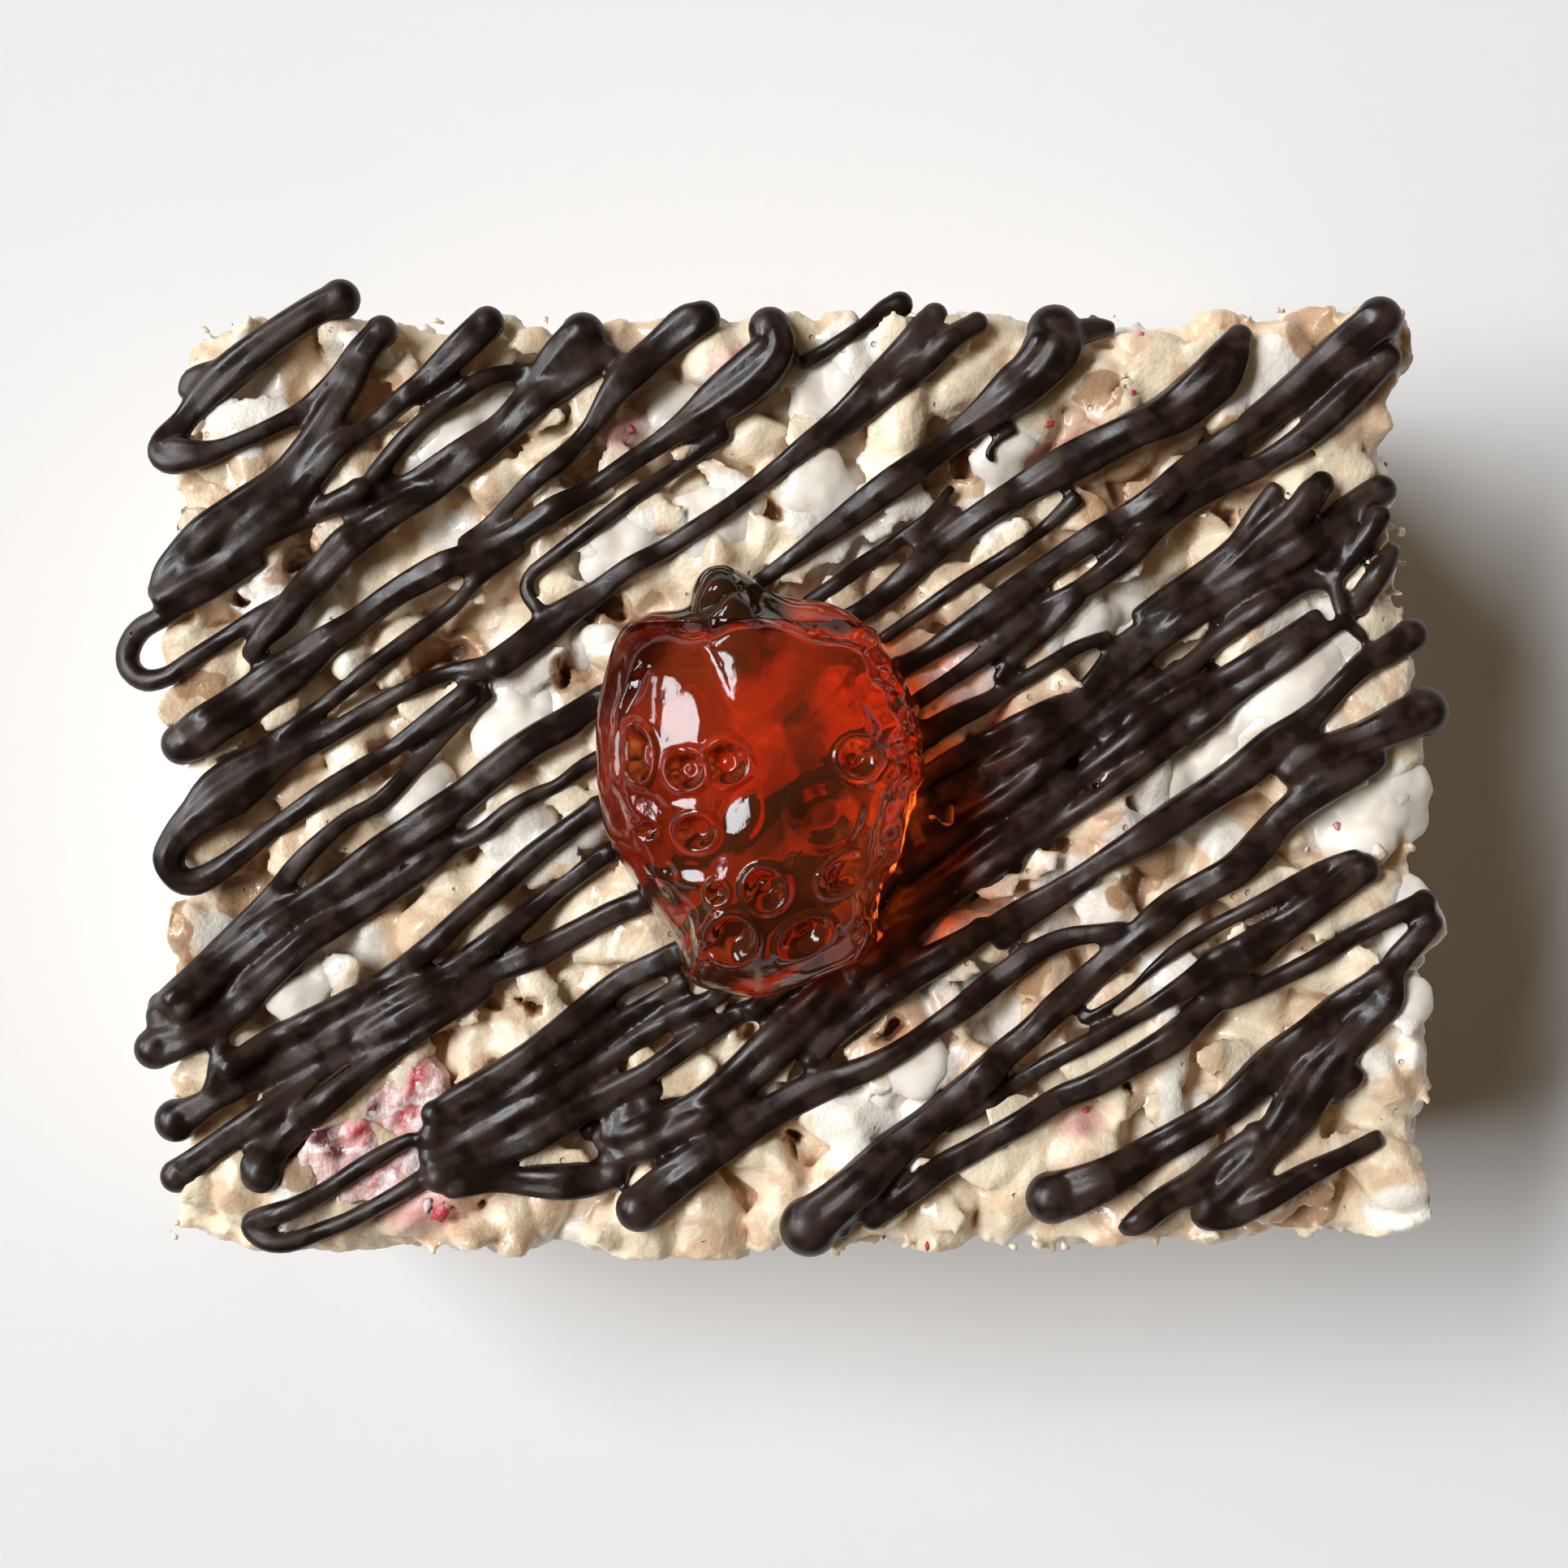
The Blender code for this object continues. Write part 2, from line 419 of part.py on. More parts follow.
def fuse(base, collection):
    """Join a collection's solids to the base with one union, and keep the outer shell."""
    union = base.modifiers.new("fuse", "BOOLEAN")
    union.operation = "UNION"
    union.operand_type = "COLLECTION"
    union.collection = collection
    union.solver = "EXACT"
    graph = bpy.context.evaluated_depsgraph_get()
    fused = bpy.data.meshes.new_from_object(base.evaluated_get(graph))
    base.modifiers.clear()
    for piece in list(collection.objects):
        bpy.data.objects.remove(piece, do_unlink=True)
    bpy.data.collections.remove(collection)
    shape = bmesh.new()
    shape.from_mesh(fused)
    bmesh.ops.remove_doubles(shape, verts=shape.verts[:], dist=MERGE_WITHIN)
    largest_shell(shape)
    bmesh.ops.dissolve_limit(
        shape, angle_limit=math.radians(FLAT_WITHIN), verts=shape.verts[:], edges=shape.edges[:]
    )
    bmesh.ops.triangulate(shape, faces=shape.faces[:])
    shape.to_mesh(base.data)
    shape.free()
    bpy.data.meshes.remove(fused)


def crispy_block():
    """The cereal block with its grains, drizzle and fruit chip in one piece."""
    pieces = bpy.data.collections.new("fused_on")
    bpy.context.scene.collection.children.link(pieces)
    draw = random.Random(SEED)
    block = block_core()
    side_grains(pieces, draw)
    top_grains(pieces, draw)
    fruit_chip(pieces)
    for route in STRANDS:
        strand(route, pieces)
    fuse(block, pieces)
    block.data.materials.append(finish("toasted_cereal", (0.80, 0.66, 0.45), 0.6))
    return block


def closed_curve(points, count):
    """Evenly numbered places on a smooth closed curve through the points."""
    total = len(points)
    places = []
    for step in range(count):
        share = step * total / count
        index = int(share)
        t = share - index
        p0, p1, p2, p3 = (Vector(points[(index + k - 1) % total]) for k in range(4))
        places.append(0.5 * (2 * p1 + (p2 - p0) * t + (2 * p0 - 5 * p1 + 4 * p2 - p3) * t * t
                             + (3 * p1 - p0 - 3 * p2 + p3) * t ** 3))
    return places


def dimple_depth(x, y):
    """How deep the seed dimples press the jelly at a place."""
    depth = 0.0
    for at_x, at_y, radius, most in DIMPLES:
        away = math.hypot(x - at_x, y - at_y) / radius
        if away < 1.0:
            depth = max(depth, most * (1.0 - away * away))
    return depth


def jelly_shape():
    """The whole moulded sweet: flat back, rounded rim, domed front with dimples."""
    outline = closed_curve(JELLY_OUTLINE, JELLY_ROUND)
    middle = sum(outline, Vector((0.0, 0.0))) / JELLY_ROUND
    levels = [(JELLY_FOOT, 0.0), (1.0, JELLY_EDGE_LEVEL * JELLY_HEIGHT)]
    for ring in range(1, JELLY_RINGS):
        angle = 0.5 * math.pi * ring / JELLY_RINGS
        rise = math.sin(angle) ** JELLY_RISE * (1.0 - JELLY_EDGE_LEVEL) + JELLY_EDGE_LEVEL
        levels.append((math.cos(angle) ** JELLY_FULL, rise * JELLY_HEIGHT))
    shape = bmesh.new()
    rings = []
    for scale, height in levels:
        ring = []
        for place in outline:
            flat = middle + (place - middle) * scale
            press = dimple_depth(flat.x, flat.y) if height > 0.5 * JELLY_HEIGHT else 0.0
            ring.append(shape.verts.new(Vector((flat.x, flat.y, JELLY_BASE + height - press)) * MM))
        rings.append(ring)
    top = shape.verts.new(Vector((middle.x, middle.y, JELLY_BASE + JELLY_HEIGHT)) * MM)
    shape.faces.new(list(reversed(rings[0])))
    for lower, upper in zip(rings, rings[1:]):
        for k in range(JELLY_ROUND):
            n = (k + 1) % JELLY_ROUND
            shape.faces.new((lower[k], lower[n], upper[n], upper[k]))
    for k in range(JELLY_ROUND):
        shape.faces.new((rings[-1][k], rings[-1][(k + 1) % JELLY_ROUND], top))
    bmesh.ops.recalc_face_normals(shape, faces=shape.faces[:])
    return shape


def jelly_part(name, keep_back, colour):
    """The red body or the dark leaf cap: the sweet cut across at the leaf line."""
    shape = jelly_shape()
    side = 1.0 if keep_back else -1.0
    cut = bmesh.ops.bisect_plane(
        shape,
        geom=shape.verts[:] + shape.edges[:] + shape.faces[:],
        plane_co=Vector((0.0, LEAF_LINE + side * 0.5 * GAP, 0.0)) * MM,
        plane_no=(0.0, side, 0.0),
        clear_inner=True,
    )
    rim = [piece for piece in cut["geom_cut"] if isinstance(piece, bmesh.types.BMEdge)]
    bmesh.ops.edgeloop_fill(shape, edges=rim)
    bmesh.ops.recalc_face_normals(shape, faces=shape.faces[:])
    bmesh.ops.triangulate(shape, faces=shape.faces[:])
    part = mesh_object(name, shape, bpy.context.scene.collection)
    part.data.shade_smooth()
    part.data.set_sharp_from_angle(angle=math.radians(JELLY_SHARP))
    part.data.materials.append(finish(name, colour, 0.25))
    return part


def main():
    clear_scene()
    crispy_block()
    jelly_part("jelly_strawberry", False, (0.32, 0.02, 0.01))
    jelly_part("jelly_leaf_cap", True, (0.03, 0.03, 0.01))


main()
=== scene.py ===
"""Looks of a crisped-rice treat: crust, marshmallow, chocolate drizzle and a jelly strawberry.

Sizes are in millimetres in the CAD model's frame and are multiplied by MM when a mesh is made.
"""

import logging
import math
import random
from collections.abc import Sequence
from dataclasses import dataclass
from enum import Enum

import bmesh
import bpy
import numpy as np
from mathutils import Matrix, Vector, noise
from mathutils.bvhtree import BVHTree
from mathutils.kdtree import KDTree


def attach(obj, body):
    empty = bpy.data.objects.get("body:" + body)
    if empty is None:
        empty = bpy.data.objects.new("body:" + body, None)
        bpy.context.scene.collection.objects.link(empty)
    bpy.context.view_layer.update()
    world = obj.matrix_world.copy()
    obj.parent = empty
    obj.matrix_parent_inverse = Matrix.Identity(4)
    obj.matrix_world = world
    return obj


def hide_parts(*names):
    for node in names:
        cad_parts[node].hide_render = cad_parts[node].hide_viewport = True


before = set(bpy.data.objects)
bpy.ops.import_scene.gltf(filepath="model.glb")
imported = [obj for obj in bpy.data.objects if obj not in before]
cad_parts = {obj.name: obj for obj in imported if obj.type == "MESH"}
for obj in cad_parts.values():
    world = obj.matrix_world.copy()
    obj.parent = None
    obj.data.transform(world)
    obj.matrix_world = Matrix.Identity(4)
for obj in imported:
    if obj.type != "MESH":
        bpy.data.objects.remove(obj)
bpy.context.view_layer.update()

MM = 0.001
SEED = 23
BODY = "root"
LOG = logging.getLogger("treat")

Place = tuple[float, float]
Route = tuple[tuple[float, float, float], ...]
Colour = tuple[float, float, float]
# Ovals, each a middle x and y, half length, half width and turn in degrees, and maybe a value.
Ovals = tuple[tuple[float, ...], ...]

# Each strand is laid across the block: places (x, y) and the full width there.
STRANDS_BACK_LEFT: tuple[Route, ...] = (
    ((-22.4, 24.0, 1.9), (-24.0, 23.2, 2.0), (-26.0, 21.9, 2.1), (-28.0, 20.3, 2.0), (-29.3, 19.1, 1.6),
     (-30.3, 17.9, 1.3), (-31.0, 16.8, 1.9), (-30.9, 16.1, 2.1), (-29.4, 16.1, 1.5), (-28.0, 16.5, 1.1),
     (-26.0, 17.4, 1.1), (-24.3, 18.4, 1.1), (-22.8, 19.8, 1.1), (-21.5, 21.1, 1.4), (-20.3, 22.4, 1.6)),
    ((-28.4, 20.7, 0.8), (-30.0, 20.1, 1.0), (-30.3, 19.2, 1.0)),
    ((-20.3, 22.3, 1.7), (-21.3, 20.8, 1.6), (-22.3, 19.1, 1.4), (-23.3, 17.5, 1.4), (-24.4, 16.1, 1.5),
     (-25.7, 14.8, 1.6), (-27.4, 13.6, 1.7), (-29.3, 12.1, 1.8), (-30.8, 10.5, 1.9), (-31.4, 9.3, 1.6)),
    ((-15.0, 22.6, 1.8), (-16.3, 21.3, 1.7), (-17.7, 20.1, 1.5), (-19.2, 18.9, 1.3), (-20.9, 17.7, 1.3),
     (-22.4, 16.5, 1.4), (-23.8, 15.1, 1.5), (-25.4, 13.5, 1.6), (-27.3, 12.0, 1.7), (-29.3, 10.5, 1.6),
     (-31.0, 9.2, 1.4)),
    ((-21.4, 14.4, 1.2), (-23.0, 13.6, 1.2), (-24.7, 12.8, 1.2), (-26.5, 11.8, 1.3), (-29.0, 10.2, 1.3),
     (-31.4, 8.9, 1.2)),
    ((-26.4, 10.9, 1.0), (-28.2, 9.8, 1.0), (-29.8, 8.9, 1.0), (-31.2, 8.2, 1.1), (-32.6, 7.5, 1.3),
     (-33.3, 6.5, 1.4), (-33.2, 5.6, 1.4), (-32.3, 5.0, 1.3), (-31.1, 5.2, 1.1), (-30.0, 5.9, 1.0),
     (-28.5, 6.9, 1.0), (-27.0, 7.8, 1.1), (-25.3, 8.8, 1.1), (-24.3, 9.4, 1.1)),
    ((-10.4, 22.2, 2.2), (-11.7, 20.9, 2.0), (-13.1, 19.5, 1.3), (-14.4, 18.1, 0.9), (-16.2, 16.7, 0.8),
     (-18.5, 15.3, 0.8), (-20.7, 14.2, 0.7), (-22.3, 13.1, 0.7)),
    ((-13.2, 20.4, 1.0), (-15.0, 20.0, 1.0), (-16.5, 19.1, 1.1), (-18.2, 17.8, 1.1), (-19.7, 16.4, 1.1),
     (-20.9, 15.0, 0.9)),
    ((-9.2, 21.1, 1.3), (-10.6, 20.2, 1.6), (-12.4, 18.9, 1.7), (-14.5, 17.0, 1.3), (-16.5, 15.4, 1.3),
     (-18.7, 13.9, 1.4), (-20.9, 12.6, 1.6), (-22.3, 11.5, 1.9), (-23.8, 9.9, 1.9), (-25.0, 8.3, 1.6),
     (-26.2, 7.1, 1.3), (-27.0, 6.2, 1.0)),
    ((-4.5, 22.9, 1.7), (-5.4, 22.5, 2.0), (-6.8, 21.4, 1.8), (-8.1, 20.1, 1.7), (-9.2, 18.8, 1.4),
     (-10.2, 17.3, 1.2), (-11.5, 15.9, 1.2), (-13.1, 14.6, 1.1), (-14.6, 13.3, 0.9), (-15.5, 12.5, 0.8),
     (-16.4, 11.7, 0.9)),
    ((-1.3, 22.4, 2.2), (-1.0, 21.3, 2.7), (-2.0, 20.1, 2.8), (-3.9, 18.7, 2.3), (-5.9, 17.3, 1.4),
     (-8.0, 15.9, 1.1), (-10.0, 14.5, 1.1), (-12.0, 13.3, 1.5), (-14.0, 12.1, 1.4), (-16.0, 11.2, 1.4),
     (-18.0, 10.3, 1.5), (-20.0, 9.1, 1.5), (-22.0, 7.5, 1.7), (-24.0, 6.1, 2.0), (-26.0, 4.7, 2.3),
     (-28.0, 3.3, 2.5), (-29.6, 2.2, 2.6), (-30.4, 1.8, 2.0)),
    ((-13.5, 11.6, 0.8), (-15.3, 10.3, 0.8), (-17.1, 8.6, 1.0), (-21.0, 5.5, 1.0), (-24.8, 2.7, 1.0),
     (-26.5, 1.6, 0.9)),
)
STRANDS_FRONT_LEFT: tuple[Route, ...] = (
    ((-15.0, 5.6, 1.3), (-17.0, 5.4, 1.0), (-19.0, 4.6, 1.1), (-21.0, 3.5, 1.1), (-23.0, 2.3, 1.2),
     (-24.8, 1.5, 1.7), (-26.6, 0.5, 2.3), (-28.4, -0.8, 2.7), (-29.6, -1.9, 2.3), (-30.6, -3.0, 1.7),
     (-31.0, -4.0, 1.7), (-30.5, -4.9, 1.6), (-29.6, -5.0, 1.4), (-28.2, -4.2, 1.2), (-26.0, -2.5, 1.1),
     (-24.0, -1.1, 1.1), (-22.0, 0.3, 1.1), (-20.0, 1.6, 1.1), (-18.0, 3.0, 1.1), (-16.0, 4.5, 1.1)),
    ((-15.2, 4.3, 0.8), (-17.0, 2.6, 0.7), (-18.7, 0.9, 0.8), (-20.4, -0.9, 1.0), (-22.1, -1.9, 1.0),
     (-23.8, -3.4, 1.0), (-25.2, -4.9, 1.1), (-26.5, -6.3, 1.2), (-27.8, -7.7, 1.4), (-29.3, -9.2, 1.5),
     (-30.6, -10.6, 1.6), (-31.4, -11.3, 1.6)),
    ((-9.3, 4.3, 1.4), (-11.0, 3.1, 1.6), (-13.0, 1.9, 1.7), (-14.8, 0.5, 2.0), (-16.5, -0.9, 2.0),
     (-18.4, -2.2, 1.8), (-20.4, -3.4, 1.7), (-22.4, -4.8, 1.7), (-24.4, -6.2, 1.7), (-26.4, -7.7, 1.8),
     (-28.4, -9.3, 1.9), (-30.3, -11.0, 2.2), (-31.2, -11.7, 2.0)),
    ((-16.6, -2.9, 1.2), (-18.3, -4.1, 1.5), (-20.0, -5.2, 1.6), (-22.0, -6.5, 1.6), (-24.0, -7.9, 1.6),
     (-26.0, -9.7, 1.7), (-27.9, -11.4, 1.9), (-29.6, -12.6, 1.9), (-31.0, -13.1, 2.1),
     (-31.6, -13.2, 2.0)),
    ((-16.6, -3.1, 1.0), (-15.4, -2.5, 1.0), (-14.2, -1.5, 0.9), (-13.0, -0.8, 0.9), (-11.7, -0.2, 0.8),
     (-10.6, 0.6, 1.0), (-9.6, 1.2, 1.0)),
    ((-9.6, -1.2, 1.3), (-11.4, -2.5, 1.3), (-13.2, -3.9, 1.3), (-15.0, -5.5, 1.3), (-16.6, -6.9, 1.3),
     (-18.0, -8.2, 1.3), (-20.0, -9.7, 1.3), (-22.0, -10.8, 1.3), (-24.0, -11.8, 1.3), (-26.0, -12.9, 1.4),
     (-28.0, -14.2, 1.3)),
    ((-9.1, -3.5, 1.2), (-10.5, -4.5, 1.2), (-12.0, -5.6, 1.2), (-13.6, -6.9, 1.3), (-15.4, -8.2, 1.3),
     (-17.5, -9.6, 1.3), (-19.7, -10.9, 1.3), (-22.0, -12.2, 1.2), (-24.3, -13.5, 1.2), (-26.5, -14.7, 1.3),
     (-28.6, -15.7, 1.5), (-30.0, -16.5, 1.9), (-30.8, -16.9, 2.1)),
    ((-7.7, -6.0, 1.3), (-9.2, -6.6, 1.4), (-10.7, -7.4, 1.4), (-12.5, -8.4, 1.4), (-14.5, -9.3, 1.4),
     (-16.5, -10.3, 1.3), (-18.5, -11.3, 1.3), (-20.5, -12.4, 1.3), (-22.5, -13.7, 1.3),
     (-24.5, -15.1, 1.3), (-26.5, -16.6, 1.4), (-28.5, -18.0, 1.5), (-30.0, -19.1, 1.7),
     (-30.8, -19.7, 1.7)),
    ((-15.3, -10.4, 1.0), (-17.0, -11.4, 1.1), (-19.0, -12.7, 1.2), (-21.0, -14.1, 1.3),
     (-23.0, -15.7, 1.5), (-24.6, -17.0, 1.6), (-25.6, -18.0, 1.7), (-26.2, -18.9, 2.3),
     (-26.3, -19.3, 2.3)),
    ((-28.2, -12.7, 0.9), (-28.5, -13.7, 0.8), (-28.7, -14.8, 0.8), (-28.9, -15.4, 1.0)),
    ((-18.8, -17.6, 0.8), (-20.0, -18.2, 0.9), (-21.5, -19.1, 1.0), (-23.0, -20.1, 1.0),
     (-24.5, -20.9, 1.2), (-26.0, -21.5, 1.4), (-26.9, -22.0, 1.3), (-26.2, -22.7, 1.1),
     (-25.0, -22.8, 1.1), (-23.5, -22.3, 1.1), (-22.0, -21.7, 1.1), (-20.5, -20.9, 1.0),
     (-19.0, -20.0, 1.0), (-18.4, -19.6, 1.0)),
    ((-17.9, -16.5, 1.5), (-16.5, -15.6, 1.5), (-14.5, -14.4, 1.5), (-12.5, -13.0, 1.5),
     (-10.5, -11.5, 1.5), (-8.5, -9.9, 1.4), (-6.5, -8.9, 1.3), (-5.4, -8.3, 1.2)),
    ((-18.1, -17.6, 1.3), (-16.0, -16.6, 1.3), (-13.5, -15.2, 1.2), (-11.4, -13.8, 1.2), (-9.0, -12.1, 1.1),
     (-7.0, -10.9, 1.0), (-5.4, -9.9, 1.0)),
    ((-18.1, -18.6, 1.4), (-16.0, -17.7, 1.4), (-13.5, -16.3, 1.3), (-11.0, -14.9, 1.3), (-8.5, -13.3, 1.3),
     (-6.0, -11.7, 1.2), (-4.0, -10.7, 1.0)),
    ((-17.7, -19.6, 1.5), (-15.5, -18.8, 1.5), (-13.0, -17.7, 1.5), (-11.0, -16.5, 1.4), (-9.0, -15.4, 1.4),
     (-7.0, -14.2, 1.3), (-5.0, -12.8, 1.3), (-3.3, -11.8, 1.2), (-2.0, -11.2, 1.2)),
    ((-17.0, -20.1, 1.1), (-15.0, -19.8, 1.3), (-13.3, -19.8, 1.7), (-11.5, -19.8, 1.9),
     (-10.0, -19.7, 1.8), (-8.8, -19.5, 1.5)),
)
STRANDS_MIDDLE: tuple[Route, ...] = (
    ((-9.3, -17.8, 1.0), (-7.0, -16.9, 1.1), (-5.0, -15.9, 1.2), (-3.3, -14.6, 1.4), (-1.8, -13.1, 1.4),
     (-0.2, -11.7, 1.4), (1.5, -10.2, 1.4), (2.8, -9.1, 1.4)),
    ((-9.4, -18.9, 1.2), (-7.5, -18.2, 1.3), (-5.5, -17.1, 1.3), (-3.5, -15.9, 1.3), (-1.5, -14.3, 1.3),
     (0.3, -12.6, 1.4), (1.5, -11.3, 1.4), (3.2, -9.9, 1.4)),
    ((-7.8, -21.1, 2.4), (-6.5, -20.1, 2.2), (-4.8, -18.8, 2.0), (-3.0, -17.6, 1.9), (-1.0, -16.3, 1.8),
     (1.0, -15.2, 1.7), (3.0, -14.4, 1.4), (5.0, -13.4, 1.3), (7.0, -12.1, 1.3), (9.0, -10.7, 1.5),
     (10.5, -9.6, 1.4), (12.0, -8.5, 1.3), (13.5, -7.8, 1.2), (15.0, -7.5, 1.0), (16.3, -7.3, 0.8)),
    ((0.7, -14.0, 1.2), (1.7, -12.9, 1.5), (2.9, -11.7, 1.7), (4.3, -10.5, 1.8), (6.0, -9.4, 1.8),
     (7.8, -8.3, 1.7), (9.4, -7.3, 1.4)),
    ((0.4, 20.7, 1.0), (1.7, 21.4, 0.9), (3.2, 22.4, 0.9), (4.5, 23.4, 1.2), (5.3, 23.7, 1.3)),
    ((-3.5, 17.4, 1.2), (-6.0, 15.5, 1.0), (-8.2, 13.9, 1.0), (-10.3, 12.3, 0.9), (-12.1, 11.0, 0.9),
     (-13.1, 10.2, 0.9), (-13.3, 9.4, 0.9), (-12.6, 8.4, 0.9)),
    ((7.0, 23.2, 1.3), (5.9, 21.7, 1.5), (4.2, 19.9, 1.7), (2.4, 18.1, 1.4), (0.0, 16.1, 1.1),
     (-2.0, 14.5, 1.1), (-4.0, 13.0, 1.1), (-6.0, 11.7, 1.1), (-8.0, 10.6, 1.2), (-10.0, 9.2, 1.4),
     (-12.0, 7.9, 1.6), (-13.4, 6.7, 1.6), (-14.8, 5.6, 1.6)),
    ((9.1, 22.7, 1.2), (7.8, 21.9, 1.3), (6.3, 20.5, 1.4), (4.7, 19.1, 1.2), (3.2, 17.9, 1.0),
     (1.5, 16.7, 0.8)),
    ((12.8, 22.3, 2.5), (12.5, 21.1, 3.2), (11.5, 19.8, 2.9), (10.1, 18.6, 2.1), (8.0, 17.1, 1.6),
     (5.0, 14.8, 1.6), (2.0, 12.6, 1.4), (-0.3, 10.9, 1.1), (-1.9, 9.8, 0.9)),
    ((13.4, 21.9, 1.5), (14.7, 22.4, 1.3), (15.8, 22.5, 0.8)),
    ((14.6, 22.4, 0.8), (14.9, 23.2, 0.4)),
    ((10.9, 17.4, 0.5), (10.2, 17.0, 0.45), (9.7, 16.5, 0.45), (9.6, 16.1, 0.5), (9.9, 15.9, 0.4)),
    ((7.8, 14.6, 0.6), (7.2, 13.8, 0.6), (6.4, 13.0, 0.5), (5.5, 12.3, 0.6), (4.7, 11.6, 0.9),
     (3.3, 10.7, 1.0), (2.0, 9.7, 1.0), (0.5, 8.7, 1.0)),
)
